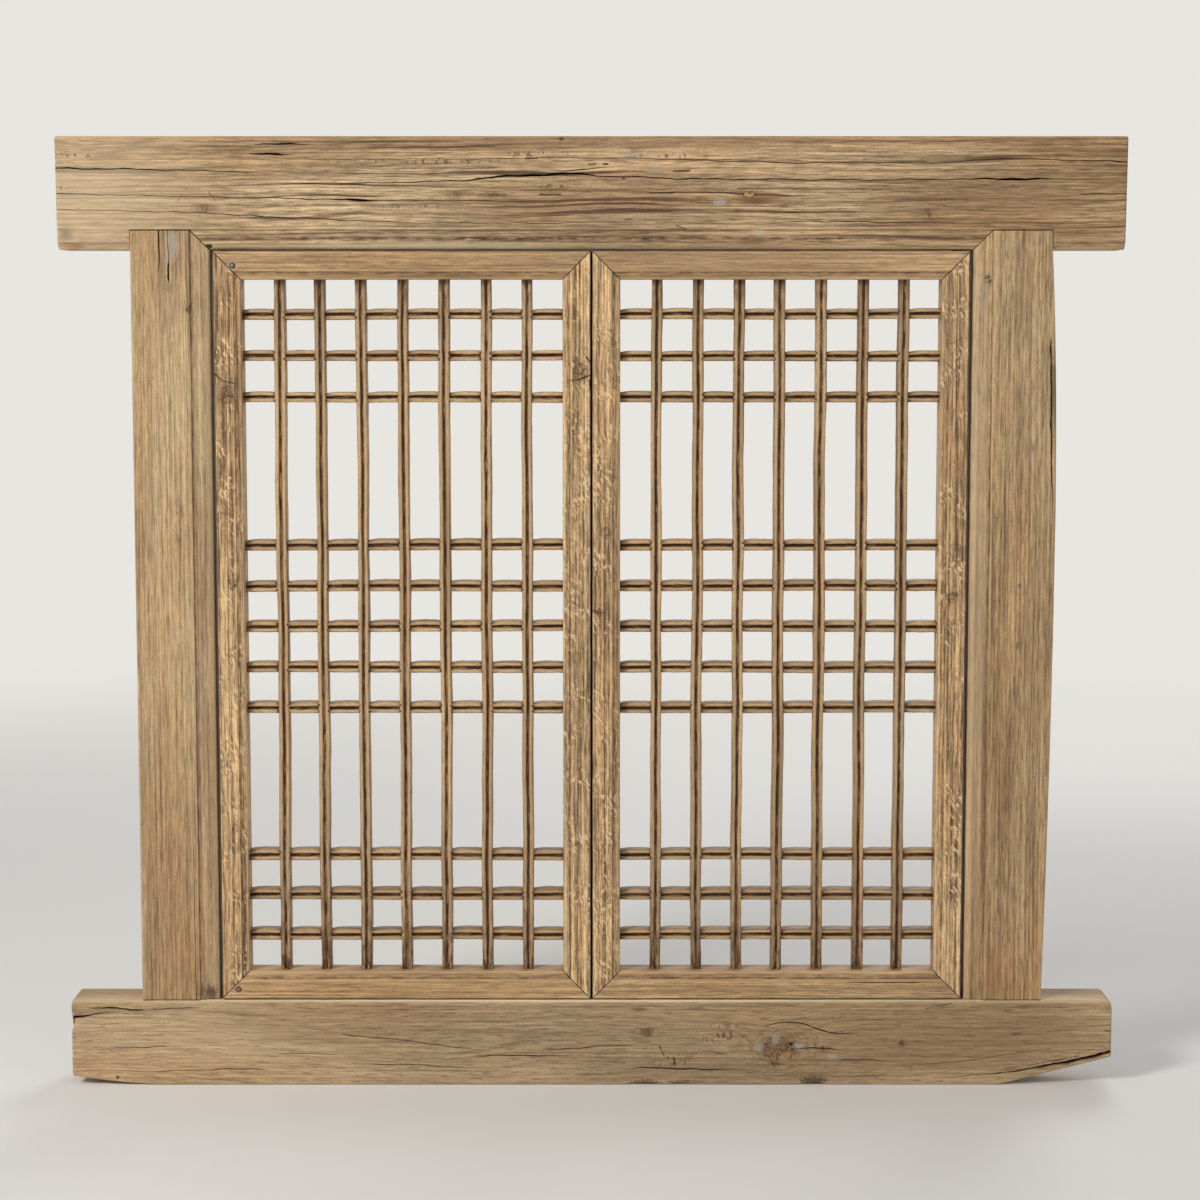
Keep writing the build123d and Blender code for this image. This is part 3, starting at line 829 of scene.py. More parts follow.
lintel_cracks = [
    [(-600, 1003, .25), (-430, 999, .25), (-400, 996.5, .45), (-292, 991.5, .4), (-200, 988, .2), (-60, 987.5, .35),
     (60, 989, .1), (187, 986, .1), (240, 990, .45), (330, 988.5, .4), (430, 987.5, .1), (600, 989, 0)],
    [(-600, 1020.2, .3), (-440, 1017, .3), (-290, 1014, .45), (-263, 1013.3, 1.3), (-235, 1013, .3), (-60, 1012, .15),
     (90, 1013, .1), (200, 1013.5, .1), (330, 1011, .1), (540, 1018, .1), (556, 1019.6, .35), (600, 1020.6, .35)],
    [(-600, 1029, 0), (-430, 1029, .1), (-300, 1031, .3), (-147, 1034.4, .55), (-113, 1038.4, 1.0), (-60, 1041.2, 1.5),
     (-20, 1042.6, 1.1), (10, 1039.9, .5), (104, 1036.6, .6), (300, 1035.5, .45), (420, 1036.4, .5), (476, 1036.6, 1.5),
     (521, 1036.4, .35), (560, 1036, .1), (600, 1036, 0)],
    [(-600, 1048.4, .8), (-500, 1047.2, .5), (-391, 1044.5, .35), (-355, 1043, 0), (-60, 1046.5, 0), (-28, 1046, .5),
     (-8, 1047, .6), (14, 1049.2, .3), (30, 1050, 0), (600, 1047, 0)],
    [(-600, 1058, 0), (-381, 1058.5, .1), (-130, 1058.5, .25), (-60, 1060, .25), (60, 1059.5, .25), (130, 1057, .4),
     (210, 1054.5, .45), (395, 1054.3, .3), (461, 1059.6, .4), (540, 1057, .4), (600, 1055.6, .7)],
    [(-600, 1064, 0), (-385, 1064, 0), (-372, 1064.2, 1.0), (-352, 1064.3, 1.2), (-338, 1064, .2),
     (-330, 1064, 0), (600, 1066, 0)],
    [(-600, 1075, 0), (-380, 1074.6, 0), (-362, 1074.8, .7), (-340, 1075.2, 1.0), (-318, 1075, .2),
     (-310, 1075, 0), (600, 1076, 0)],
]
lintel_dents = [(-560, 1042, 60, 14, 0.6), (150, 1016, 26, 7, 0.7), (377, 998, 9, 9, 0.8), (-30, 1048, 50, 6, 0.5),
                (70, 1046, 16, 3.5, 0.8), (-585, 972, 9, 9, 0.9)]


def shape_lintel():
    low, high = lintel_z
    skin = Skin(along_grain(-HALF_LENGTH, HALF_LENGTH, 3.6, ease=2.6))
    mould = frame_mould(lintel_dirt(skin.a), 0.6 * past_posts(skin.a))
    # Painted shade darkens the underside near its front, along the gap above the sashes.
    round_section(skin, low, high, FRAME_DEPTH, 21, lintel_cracks, FRAME_SPACING, 0.5, mould=mould, dents=lintel_dents,
                  roll_high=1.2 + 1.4 * ragged(skin.a, 11, 20.0), back_rows=22, gap_shade_low=1.1)
    ease_ends(skin, -HALF_LENGTH, HALF_LENGTH, 2.6, FRAME_DEPTH)
    rake = 1 - 1.2 / HALF_LENGTH * (high - skin.grid("f")) / (high - low)
    return close_skin("worn_lintel", skin, lying(FRAME_FRONT), skin.a[:, None] * rake, checks=(5, 6), seed=3)


lintel = shape_lintel()

# %% [markdown]
# The laps of both posts sit in housings in the lintel's face. A housing has square corners in the middle of a
# long face, so rows can't follow it. Here a Boolean is the better tool: two prisms, slightly larger than the
# laps, are taken out of the finished timber, and the narrow shadow that is left draws the joint.

# %% Cut the housings for the posts
def loft(work, rings, tips=(None, None)):
    """Joins rings of points in millimetres with faces. Each end is closed flat, or as a fan round a tip."""
    laid = [[work.verts.new(millimetres(*point)) for point in ring] for ring in rings]
    pairs = [(number, (number + 1) % len(laid[0])) for number in range(len(laid[0]))]
    for lower, upper in zip(laid, laid[1:]):
        for here, beside in pairs:
            work.faces.new((lower[here], lower[beside], upper[beside], upper[here]))
    for ring, tip in zip((laid[0], laid[-1]), tips):
        if tip is None:
            work.faces.new(ring)
            continue
        point = work.verts.new(millimetres(*tip))
        for here, beside in pairs:
            work.faces.new((ring[here], ring[beside], point))


def lofted_mesh(work, name):
    bmesh.ops.recalc_face_normals(work, faces=work.faces)
    mesh = bpy.data.meshes.new(name)
    work.to_mesh(mesh)
    work.free()
    return mesh


def settle(piece, modifier):
    """Keeps what a modifier makes as the object's plain mesh."""
    bpy.context.view_layer.update()
    finished = bpy.data.meshes.new_from_object(piece.evaluated_get(bpy.context.evaluated_depsgraph_get()))
    piece.modifiers.remove(modifier)
    piece.data = finished
    return finished


def cut_housings(timber, gap=0.45):
    """Takes a mitred prism out of the timber at each post."""
    inner, outer, head = HALF_OPENING - gap * math.sqrt(2), HALF_OPENING + POST_WIDTH + gap, MOULDING + gap
    outline = [(inner - 3.0, -3.0), (inner + head, head), (outer, head), (outer, -3.0)]
    work = bmesh.new()
    for side in (-1, 1):
        loft(work, [[(side * x, FRAME_FRONT + depth, lintel_z[0] + z) for x, z in outline]
                    for depth in (-4.0, LAP + gap)])
    cutter = place_mesh("housings", lofted_mesh(work, "housings"))
    cut = timber.modifiers.new("cut", "BOOLEAN")
    cut.operation, cut.solver, cut.object = "DIFFERENCE", "EXACT", cutter
    finished = settle(timber, cut)
    bpy.data.objects.remove(cutter)
    shade(finished)
    print("housings cut, triangles now", triangles(finished))


cut_housings(lintel)

# %% [markdown]
# ## Sill
#
# The sill carries everything. Its left end lifts in a shallow curve, its right end is cut away in a slope with
# a wide split above it, and its upper right corner is rounded. A large healed knot sits right of the middle.
# Chips are broken out of its lower front arris, so the roll of that arris is made wide there.

# %% Shape the sill
sill_cracks = [
    [(-600, 17, 0), (-497, 16, .3), (-440, 17.5, .4), (-430, 19.5, .55), (-388, 17.9, .45), (-370, 17, 0),
     (-150, 12, 0),
     (40, 18.5, 0), (56, 20.1, .7), (110, 19, 1.0), (150, 16.6, .6), (165, 19, .15), (200, 14, 0), (395, 7, 0),
     (453, 12.3, .4), (500, 17.5, .9), (540, 25.4, 1.7), (570, 31.5, 2.1), (600, 38.5, 2.0)],
    [(-600, 27, 0), (-262, 25.5, 0), (-253, 24.8, .45), (-190, 23, .45), (-138, 20, .15), (-120, 21, 0), (230, 27, 0),
     (284, 29.6, 0), (292, 29.8, .5), (327, 29.4, .35), (345, 27, 0), (402, 25, .25), (450, 31, .3),
     (520, 42, .1), (600, 52, 0)],
    [(-600, 42, 0), (-556, 43, 0), (-548, 43.4, .35), (-504, 45.2, .5), (-490, 45, 0), (-370, 38, 0), (-355, 37, .5),
     (-305, 36, .3), (-290, 36, 0), (-135, 34, 0), (-128, 34.3, .6), (-60, 34.8, .7), (-37, 34, .2), (-20, 35, 0),
     (232, 42, 0), (246, 43.9, .7), (274, 43, .7), (286, 40, .15), (300, 39, 0), (600, 62, 0)],
    [(-600, 62, 0), (-290, 59.5, 0), (-283, 59, .45), (-230, 54, .45), (-176, 47.5, .5), (-160, 44.5, .4),
     (-140, 42, .2),
     (-120, 41, 0), (-55, 42, 0), (-50, 42.2, .5), (-10, 43.5, .5), (10, 45.8, .5), (37, 46.5, .3), (50, 47, 0),
     (196, 69, 0), (202, 70.8, .4), (220, 73.4, .65), (238, 73.4, .65), (251, 70, .7), (276, 60.8, .7),
     (297, 60.3, .45),
     (312, 60.5, 0), (600, 74, 0)],
    [(-600, 79, 1.6), (-590, 80, 1.2), (-575, 82.5, .9), (-564, 84.3, .4), (-553, 85, 0), (-100, 80, 0), (600, 84, 0)],
    [(-600, 91, 0), (-581, 90.3, 0), (-576, 90.6, .5), (-560, 91.6, 1.0), (-545, 89.6, 1.15), (-520, 87.2, .8),
     (-514, 88.3, .2), (-500, 89.3, .4), (-464, 90.8, .3), (-450, 91, 0), (600, 91, 0)],
]
sill_dents = [(219, 44, 17, 15, 1.3), (206, 46, 7, 6, 0.9), (238, 47, 8, 6, 1.0), (-597, 76, 7, 9, 2.4),
              (-588, 80, 9, 4, 1.3),
              (130, 70, 60, 20, 0.7), (-380, 60, 90, 30, 0.7), (60, 8, 40, 7, 1.8), (252, 7, 22, 6, 2.0),
              (40, 92, 60, 6, 0.8)]
sill_chips = [(62, 22, 3.6), (104, 16, 2.6), (256, 16, 4.2)]
CORNER, TOE_CORNER = 8.0, 4.0


def shape_sill():
    ends = along_grain(-HALF_LENGTH, HALF_LENGTH, 3.6, ease=2.5)
    skin = Skin(np.sort(np.concatenate([ends, np.linspace(HALF_LENGTH - 16.0, HALF_LENGTH - 2.7, 9)])))
    a = skin.a
    toe = 11.0 * ((-480.0 - a).clip(0.0) / 120.0) ** 2
    heel = 33.0 * smooth_line((a - 470.0).clip(0.0) / 130.0, 4)
    corner = round_off((a - (HALF_LENGTH - CORNER)).clip(0.0), CORNER)
    toe_corner = round_off((TOE_CORNER - HALF_LENGTH - a).clip(0.0), TOE_CORNER)
    chips = sum(deep * swell(a, at, width) for at, width, deep in sill_chips)
    roll_low = 1.6 + 1.5 * ragged(a, 31, 16.0) + chips * (0.6 + 0.8 * ragged(a, 32, 4.0))
    round_section(skin, sill_z[0] + toe + heel, sill_z[1] - corner - toe_corner, FRAME_DEPTH, 34, sill_cracks,
                  FRAME_SPACING, 0.6, dents=sill_dents, roll_high=3.4 + 1.2 * ragged(a, 33, 26.0), roll_low=roll_low,
                  back_rows=20, side_rows=11)
    ease_ends(skin, -HALF_LENGTH, HALF_LENGTH, 2.5, FRAME_DEPTH)
    bite = 3.2 * swell(skin.grid("f"), 73, 7) * swell(a[:, None], -HALF_LENGTH, 6.0)
    return close_skin("worn_sill", skin, lying(FRAME_FRONT), a[:, None] + bite, checks=(6, 7), seed=4)


sill = shape_sill()

# %% [markdown]
# ## Posts
#
# A post stands between sill and lintel. At its head a thin lap rises over the lintel's face, and its inner
# corner is cut at 45 degrees, so the moulding turns there in a mitre. The rows of the front layer run on to
# that slanting end while the rows behind them stop at the lintel's underside.
# Both posts are drawn with their moulded inner edge at low f. The left one is then mirrored into its place.

# %% Shape the posts
left_post_cracks = [
    [(100, 455.5, .3), (300, 456.2, .1), (420, 455.8, 0), (700, 456, 0), (760, 456, .2), (900, 456, 0), (980, 456, 0)],
    [(100, 474, 0), (923, 474.6, 0), (925, 474.6, 1.1), (941, 474.3, 1.1), (943, 474.2, .3), (980, 475.5, .3)],
    [(100, 486, 0), (930, 486.5, 0), (936, 485.9, .3), (948, 483.4, .6), (966, 484.4, .7), (980, 486.4, .8)],
]
right_post_cracks = [
    [(100, 470, 0), (180, 470, .15), (300, 469, .1), (500, 468, 0), (700, 467, .15), (980, 466, 0)],
    [(100, 498, 0), (400, 500, .1), (560, 503, .15), (700, 503, 0), (980, 500, 0)],
    [(100, 520, 0), (640, 522, 0), (690, 522.4, .5), (740, 520.8, .9), (800, 519.2, .7), (850, 517.0, .9),
     (862, 516, 0), (980, 514, 0)],
]
left_post_dents = [(104, 436, 9, 5, 3.2), (110, 449, 7, 4, 2.6), (125, 452, 18, 3, 1.4), (108, 442, 6, 2, 2.0),
                   (960, 468, 20, 6, 0.4)]
right_post_dents = [(956, 432, 12, 5, 2.2), (800, 520, 60, 6, 1.0), (108, 500, 12, 14, 0.5), (925, 470, 10, 6, 0.6)]
BELLY = 690.0


def shape_post(name, side, cracks, dents, bow, seed):
    """bow is how far the outer edge bulges at the belly."""
    bottom, shoulder = sill_z[1], lintel_z[0]
    head = shoulder + MOULDING
    skin = Skin(along_grain(bottom, head, 4.0))
    a = skin.a
    from_belly = np.maximum((BELLY - a).clip(0.0) / 590.0, (a - BELLY).clip(0.0) / 268.0)
    high = HALF_OPENING + POST_WIDTH + bow * (1 - np.minimum(1.0, from_belly) ** 2)
    wane = 0.3 * bow * swell(a, 780, 90)
    # Painted shade, black at the front, darkens the inner side along the gap beside the sash.
    round_section(skin, HALF_OPENING, high, FRAME_DEPTH, seed, cracks, FRAME_SPACING, 0.5,
                  mould=frame_mould(post_dirt(a)), dents=dents, roll_high=1.3 + 1.5 * ragged(a, seed, 22.0) + wane,
                  back_rows=18, gap_shade_low=1.3)
    soften_seams(skin, 0.8)
    inset = 0.35
    rise = np.minimum(MOULDING - inset, (skin.grid("f") - HALF_OPENING - inset).clip(0.0))
    end = shoulder + np.where(skin.grid("d") < LAP, rise, 0.0)
    share = (a[:, None] - bottom) / (head - bottom)
    return close_skin(name, skin, standing(FRAME_FRONT, side), bottom + share * (end - bottom), seed=seed)


left_post = shape_post("worn_left_post", -1.0, left_post_cracks, left_post_dents, 0.0, 41)
right_post = shape_post("worn_right_post", 1.0, right_post_cracks, right_post_dents, 8.0, 42)

# %% [markdown]
# ## Sash timbers
#
# Stiles and rails have the same section: a flat face, a small moulding on the inner edge and eased arrises.
# What differs is their ends. On the front layer both are cut along the mitre. Behind it a stile runs on to the
# full height, and a rail stops between the stiles. One function makes all eight of them. A hanging stile is
# rounded at the back, where it turns, and a meeting stile bulges a little towards the other one.

# %% Shape the sash timbers
# Rows of across, depth, darkening and wear. The darkening grows down the sloping band and is strongest in the quirk:
# old polish and painted shade.
SASH_MOULD = [
    (0.0, 4.3, 0.3, 0.0), (0.35, 3.5, 0.0, 1.0), (1.2, 2.9, 0.0, 1.0), (2.4, 2.4, 0.1, 0.4), (4.0, 1.85, 0.5, 0.0),
    (5.8, 1.45, 0.6, 0.0), (7.2, 1.2, 0.85, 0.0), (8.0, 1.1, 1.1, 0.0), (8.35, 0.5, 1.0, 0.0), (8.8, 0.1, 0.4, 0.4),
    (9.6, 0.0, 0.0, 0.7), (10.6, 0.0, 0.0, 0.2),
]
SEAM = 0.22
PIVOT = 12.0


def shape_sash_timber(name, start, end, inner, outer, place, crack, seed, back_stop=0.0, dents=(), pivot=False,
                      bulge=None):
    """inner and outer are the f of the moulded edge and of the plain edge, and start and end lie along the grain."""
    skin = Skin(along_grain(start, end, 4.0))
    roll = 0.9 + 0.8 * ragged(skin.a, seed, 18.0) + (0.5 if bulge else 0.0)
    # Painted shade, black at the front, darkens the outer side and its arris along the gaps round the sash.
    round_section(skin, inner, outer, SASH_DEPTH, seed, [crack], 1.7, 0.3, mould=SASH_MOULD, dents=dents,
                  roll_high=roll, side_rows=10, gap_shade_high=1.5)
    for f, d in zip(skin.rows["f"], skin.rows["d"]):
        if pivot:
            f[:] = np.minimum(f, outer - round_off((d - (SASH_DEPTH - PIVOT)).clip(0.0, PIVOT), PIVOT))
            f -= 1.1 * (1.0 - ((d - 14.0) / 6.0).clip(0.0, 1.0)) * (f > outer - 2.5)
        if bulge:
            f += (MEETING_EDGE + 0.5) * swell(d, bulge, 3.0) * (f > outer - 0.7)
    soften_seams(skin)
    cut = np.where(skin.grid("d") < MITRE_LAYER, outer - skin.grid("f") + SEAM, back_stop)
    share = (skin.a[:, None] - start) / (end - start)
    return close_skin(name, skin, place, start + cut + share * (end - start - 2 * cut), seed=seed)


def straight_crack(edge, *stretch):
    """A crack from (along, distance from the edge, half width)."""
    return [(along, edge + across, half) for along, across, half in stretch]


sash_low, sash_high = sash_z
hanging_in, meeting_in = HANGING_EDGE - STOCK, MEETING_EDGE + STOCK
hands = ((-1, "left"), (1, "right"))
timbers = {}
for side, hand in hands:
    left = side < 0
    timbers[f"{hand}_sash_hanging_stile"] = shape_sash_timber(
        f"worn_{hand}_hanging_stile", sash_low, sash_high, hanging_in, HANGING_EDGE, standing(SASH_FRONT, side),
        straight_crack(hanging_in, (102, 17, .1), (400, 19, .12), (700, 18, .1), (956, 17, .15)), 51 + side, pivot=True,
        dents=[(815, HANGING_EDGE - 2, 5, 6, 1.6)] if left else [(430, HANGING_EDGE - 12, 40, 8, 0.3)])
    timbers[f"{hand}_sash_meeting_stile"] = shape_sash_timber(
        f"worn_{hand}_meeting_stile", sash_low, sash_high, -meeting_in, -MEETING_EDGE, standing(SASH_FRONT, -side),
        straight_crack(-meeting_in, (102, 16, .1), (376, 18, .15), (700, 17, .08), (956, 19, .15)), 55 + side,
        dents=[(815, -MEETING_EDGE, 6, 5, 1.2)] if left else [(376, -MEETING_EDGE, 9, 4, 2.2)],
        bulge=13.0 if left else 24.0)
    ends = sorted((side * HANGING_EDGE, side * MEETING_EDGE))
    for edge, outer, flip, seed in (("top", sash_high, 1.0, 64), ("bottom", -sash_low, -1.0, 60)):
        inner = outer - STOCK
        crack = straight_crack(inner, (ends[0], 16, 0), (ends[1], 16, 0))
        if (hand, edge) == ("right", "bottom"):
            crack = straight_crack(inner, (ends[0], 12, 0), (300, 12.5, 0), (309, 12.8, .4), (340, 11.2, .5),
                                   (370, 8.8, .5), (388, 6.2, .55), (396, 5, .2), (ends[1], 5, 0))
        timbers[f"{hand}_sash_{edge}_rail"] = shape_sash_timber(
            f"worn_{hand}_{edge}_rail", *ends, inner, outer, lying(SASH_FRONT, flip), crack, seed + side, STOCK)

# %% [markdown]
# The hanging stiles turn on wooden pintles, round stubs at both ends. They are lathe work: a half outline spun
# round an axis, here written as rings, and joined to the stile's own mesh so that both stay one piece.

# %% Turn the pintles
def turns(count):
    return np.linspace(0, 2 * math.pi, count, endpoint=False)


def add_pintles(stile, axis_x, axis_y, reach, sunk=1.0):
    """Adds a turned stub to the top and the bottom of a hanging stile."""
    outline = [(6.9, 0.0), (6.9, reach - 2.0), (6.4, reach - 0.7), (5.2, reach)]
    work = bmesh.new()
    for end, way in ((sash_high, 1.0), (sash_low, -1.0)):
        loft(work, [[(axis_x + radius * math.cos(turn), axis_y + radius * math.sin(turn), end + way * (rise - sunk))
                     for turn in turns(28)] for radius, rise in outline])
    bmesh.ops.recalc_face_normals(work, faces=work.faces)
    work.from_mesh(stile.data)
    work.to_mesh(stile.data)
    work.free()


pivot_x, pivot_y = HANGING_EDGE - PIVOT, stile_y[1] - PIVOT
for side, hand in hands:
    add_pintles(timbers[f"{hand}_sash_hanging_stile"], side * pivot_x, pivot_y, 18.0)
print(f"pintles at x {pivot_x:.1f} mm, y {pivot_y:.1f} mm")

# %% [markdown]
# ## Lattice bars with Geometry Nodes
#
# The lattice follows a rule, so it is grown by Geometry Nodes. The first tree makes one bar: a flat grid is
# wrapped round a section. One float curve draws the two beads with the groove between them, and two more take
# the grid's width round the sides and the back. The second tree copies that bar for the uprights, the third
# builds a crossbar from short lengths between the uprights and one continuous strip behind them, which is how
# a half lap looks from either side.

# %% Helpers for geometry trees
def draw_curve(value, points, handles="AUTO"):
    """A float curve through the points, smooth, or straight between them where handles is VECTOR."""
    node = value.tree.nodes.new("ShaderNodeFloatCurve")
    plug(node, {"Factor": 1.0, "Value": value})
    curve = node.mapping.curves[0]
    while len(curve.points) < len(points):
        curve.points.new(0.5, 0.5)
    for point, place in zip(curve.points, points):
        point.location, point.handle_type = place, handles
    node.mapping.update()
    return Signal(node.outputs[0])


def store(geometry, label, value, domain="POINT"):
    ins = {"Geometry": geometry, "Name": label, "Value": value}
    return wire(geometry.tree, "GeometryNodeStoreNamedAttribute", ins, data_type="FLOAT", domain=domain)


def join(*parts):
    node = parts[0].tree.nodes.new("GeometryNodeJoinGeometry")
    for part in parts:
        plug(node, {0: part})
    return Signal(node.outputs[0])


def line(count, start, offset):
    ins = {"Count": count, "Start Location": start, "Offset": offset}
    return wire(offset.tree, "GeometryNodeMeshLine", ins, mode="OFFSET")


def scatter(low, high, seed):
    """A random value for each copy: a vector if low and high are vectors."""
    kind, slots, output = ("FLOAT_VECTOR", (0, 1), 0) if isinstance(low, tuple) else ("FLOAT", (2, 3), 1)
    ins = {slots[0]: low, slots[1]: high, "Seed": seed}
    return wire(seed.tree, "FunctionNodeRandomValue", ins, output, data_type=kind)


print("a curve may be smooth or straight")

# %% One beaded bar
FRONT_STEPS, LOOP_STEPS = 18, 26
MERGE = 0.02


def build_bar():
    tree, given = start_group("beaded bar", {"Length": 0.1, "Width": 0.0115, "Depth": 0.019, "Groove": 0.0026,
                                             "Pinch": 0.0, "Steps": 12}, "GeometryNodeTree")
    grid = wire(tree, "GeometryNodeMeshGrid", {"Size X": 1.0, "Size Y": 1.0, "Vertices X": given["Steps"],
                                               "Vertices Y": LOOP_STEPS + 1})
    place = wire(tree, "ShaderNodeSeparateXYZ", {0: wire(tree, "GeometryNodeInputPosition")}, None)
    along, loop = place["X"] + 0.5, place["Y"] + 0.5
    front, step = FRONT_STEPS / LOOP_STEPS, 1.0 / LOOP_STEPS
    stops = (0.0, front, front + 2 * step, front + 3 * step, front + 6 * step, front + 7 * step, 1.0)
    width = draw_curve(loop, list(zip(stops, (0.0, 1.0, 1.0, 0.95, 0.05, 0.0, 0.0))), "VECTOR")
    depth = draw_curve(loop, list(zip(stops, (0.0, 0.0, 0.97, 1.0, 1.0, 0.97, 0.0))), "VECTOR")
    off_middle = reckon("ABSOLUTE", width * 2.0 - 1.0)
    bead = draw_curve(off_middle, [(0.0, 1.0), (0.1, 0.92), (0.2, 0.5), (0.3, 0.1), (0.45, 0.0), (0.74, 0.0),
                                   (0.9, 0.1), (1.0, 0.42)])
    is_front = reckon("LESS_THAN", loop, front + 0.4 * step)
    is_seam = reckon("GREATER_THAN", loop, 1.0 - 0.4 * step)
    y = reckon("MAXIMUM", bead * given["Groove"] * is_front, depth * given["Depth"])
    y = reckon("MAXIMUM", y, is_seam * (given["Groove"] * 0.55))

    swing = along * 2.0 - 1.0
    left_half, right_half = (reckon("MAXIMUM", half, 0.0) for half in (swing * -1.0, swing))
    pinch = (right_half ** 4.0 * 0.4 + left_half ** 2.2) * given["Pinch"]
    z = (width - 0.5) * given["Width"] - pinch * remap(width, 0.4, 1.0, smooth=False)
    groove = remap(off_middle, 0.42, 0.1) * (is_front * 1.35)
    sides = (1.0 - is_front) * 0.3
    # Both ends of a length darken with painted shade where it meets another part, the starting end more, like the
    # shadow an upright casts on the left end of a crossbar length. The groove darkens with old polish and the sides a
    # little.
    ends = right_half ** 9.0 * 1.0 + left_half ** 4.0 * 1.2
    patina = reckon("MAXIMUM", reckon("MAXIMUM", groove, sides), ends)
    flat = store(store(grid, "patina", patina), "wear", remap(bead, 0.12, 0.0) * is_front)
    position = combine(along * given["Length"], y, z)
    shaped = wire(tree, "GeometryNodeSetPosition", {"Geometry": flat, "Position": position})
    return give(tree, Geometry=wire(tree, "GeometryNodeMergeByDistance", {"Geometry": shaped, "Distance": MERGE * MM}))


bar_tree = build_bar()

# %% [markdown]
# Uprights stand on a row of points. Each copy gets a tiny lean and twist of its own, from a fixed seed, and a
# slow noise bends them all a little, because no old lattice is quite straight.

# %% The uprights tree
BAR_INPUTS = {"Width": 0.0115, "Depth": 0.019, "Groove": 0.0026, "Seed": 1, "Material": None}


def bent(geometry, seed, pace, amount):
    """Lets every bar wander by itself: the noise runs slowly along the bars and jumps from bar to bar."""
    moved = wire(geometry.tree, "GeometryNodeInputPosition") * pace + combine(seed)
    offset = (noise(moved, 1.0, output=1) - (0.5, 0.5, 0.5)) * amount
    return wire(geometry.tree, "GeometryNodeSetPosition", {"Geometry": geometry, "Offset": offset})


def finish_tree(tree, copies, given, number, pace, amount):
    """Gives each copy a tone, makes all of them real and bent, and ends the tree."""
    seed = given["Seed"]
    copies = store(copies, "tone", scatter(0.0, 1.0, seed + number), "INSTANCE")
    bars = bent(wire(tree, "GeometryNodeRealizeInstances", {"Geometry": copies}), seed, pace, amount)
    bars = bent(bars, seed + 50.0, (160.0, 160.0, 160.0), (0.0011, 0.0, 0.0011))
    bars = wire(tree, "GeometryNodeSetShadeSmooth", {"Geometry": bars, "Shade Smooth": True})
    return give(tree, Geometry=wire(tree, "GeometryNodeSetMaterial", {"Geometry": bars, "Material": given["Material"]}))


def place_bar(given, **sizes):
    return wire(given["Width"].tree, "GeometryNodeGroup", {"Width": given["Width"], **sizes}, node_tree=bar_tree)


def copy_on(points, instance, lean):
    ins = {"Points": points, "Instance": instance, "Rotation": lean}
    return wire(points.tree, "GeometryNodeInstanceOnPoints", ins)


def build_uprights():
    tree, given = start_group("uprights", {"Count": 7, "Pitch": 0.0465, "Left": 0.0, "Front": 0.0, "Bottom": 0.0,
                                           "Length": 0.8, **BAR_INPUTS}, "GeometryNodeTree")
    bar = place_bar(given, Length=given["Length"], Depth=given["Depth"], Groove=given["Groove"], Pinch=0.0, Steps=70)
    points = line(given["Count"], combine(given["Left"], given["Front"], given["Bottom"]), combine(given["Pitch"]))
    upright, lean, twist = math.radians(-90.0), 0.0012, 0.02
    tilt = scatter((-twist, upright - lean, -lean), (twist, upright + lean, lean), given["Seed"] + 11.0)
    return finish_tree(tree, copy_on(points, bar, tilt), given, 12.0, (24.0, 0.0, 6.0), (0.0052, 0.0, 0.0))


uprights_tree = build_uprights()

# %% The crossbars tree
def build_crossbars():
    tree, given = start_group("crossbars", {
        "Cells": 8, "Cell": 0.035, "Pitch": 0.0465, "Left": 0.0, "Front": 0.0, "Length": 0.36, "End Rows": 3,
        "Middle Rows": 5, "First Low": 0.1, "First Middle": 0.4, "First High": 0.8, **BAR_INPUTS, "Pinch": 0.0015,
        "Tuck": 0.0012, "Let In": 0.004}, "GeometryNodeTree")
    short = place_bar(given, Length=given["Cell"] + given["Tuck"] * 2.0, Depth=given["Depth"], Groove=given["Groove"],
                      Pinch=given["Pinch"], Steps=11)
    cells = line(given["Cells"], combine(given["Tuck"] * -1.0), combine(given["Pitch"]))
    shorts = wire(tree, "GeometryNodeInstanceOnPoints", {"Points": cells, "Instance": short})
    half = given["Depth"] * 0.5
    strip = place_bar(given, Length=given["Let In"] * 2.0 + given["Length"], Depth=half, Groove=0.0, Pinch=0.0,
                      Steps=24)
    behind = combine(given["Let In"] * -1.0, half, given["Pinch"] * -0.6)
    strip = wire(tree, "GeometryNodeTransform", {"Geometry": strip, "Translation": behind, "Scale": (1.0, 1.0, 0.74)})
    row = wire(tree, "GeometryNodeRealizeInstances", {"Geometry": join(shorts, strip)})
    upwards = combine(0.0, 0.0, given["Pitch"])
    groups = (("First Low", "End Rows"), ("First Middle", "Middle Rows"), ("First High", "End Rows"))
    rows = join(*(line(given[count], combine(given["Left"], given["Front"], given[first]), upwards)
                  for first, count in groups))
    tilt = scatter((-0.025, -0.0022, -0.001), (0.025, 0.0022, 0.001), given["Seed"] + 21.0)
    return finish_tree(tree, copy_on(rows, row, tilt), given, 22.0, (5.0, 0.0, 24.0), (0.0, 0.0, 0.0034))


crossbars_tree = build_crossbars()

# %% [markdown]
# ## Woods for this window
#
# The frame is pale, dusty and cracked. The sash timbers are a shade warmer, with fine straight grain and light
# flecks on the stiles. The bars are worn pale on their beads and dark brown in their grooves, with painted shade
# at their ends. The marks are listed with the timber that carries them. Among them are broad patches of painted
# light and painted shade, mostly paler on the left and darker on the right as the light falls, a painted
# highlight on the sill's top and painted shade in a few chips and dents.

# %% Choose the tones and marks
FRAME_DARK, SASH_DARK = linear(108, 78, 50), linear(112, 76, 46)
# The last tone on the next line is painted shade, for broad patches where less light falls.
STRAW, HEART, RUST, PAINTED_SHADE = linear(190, 148, 96), linear(106, 70, 44), linear(142, 98, 60), linear(128, 98, 66)
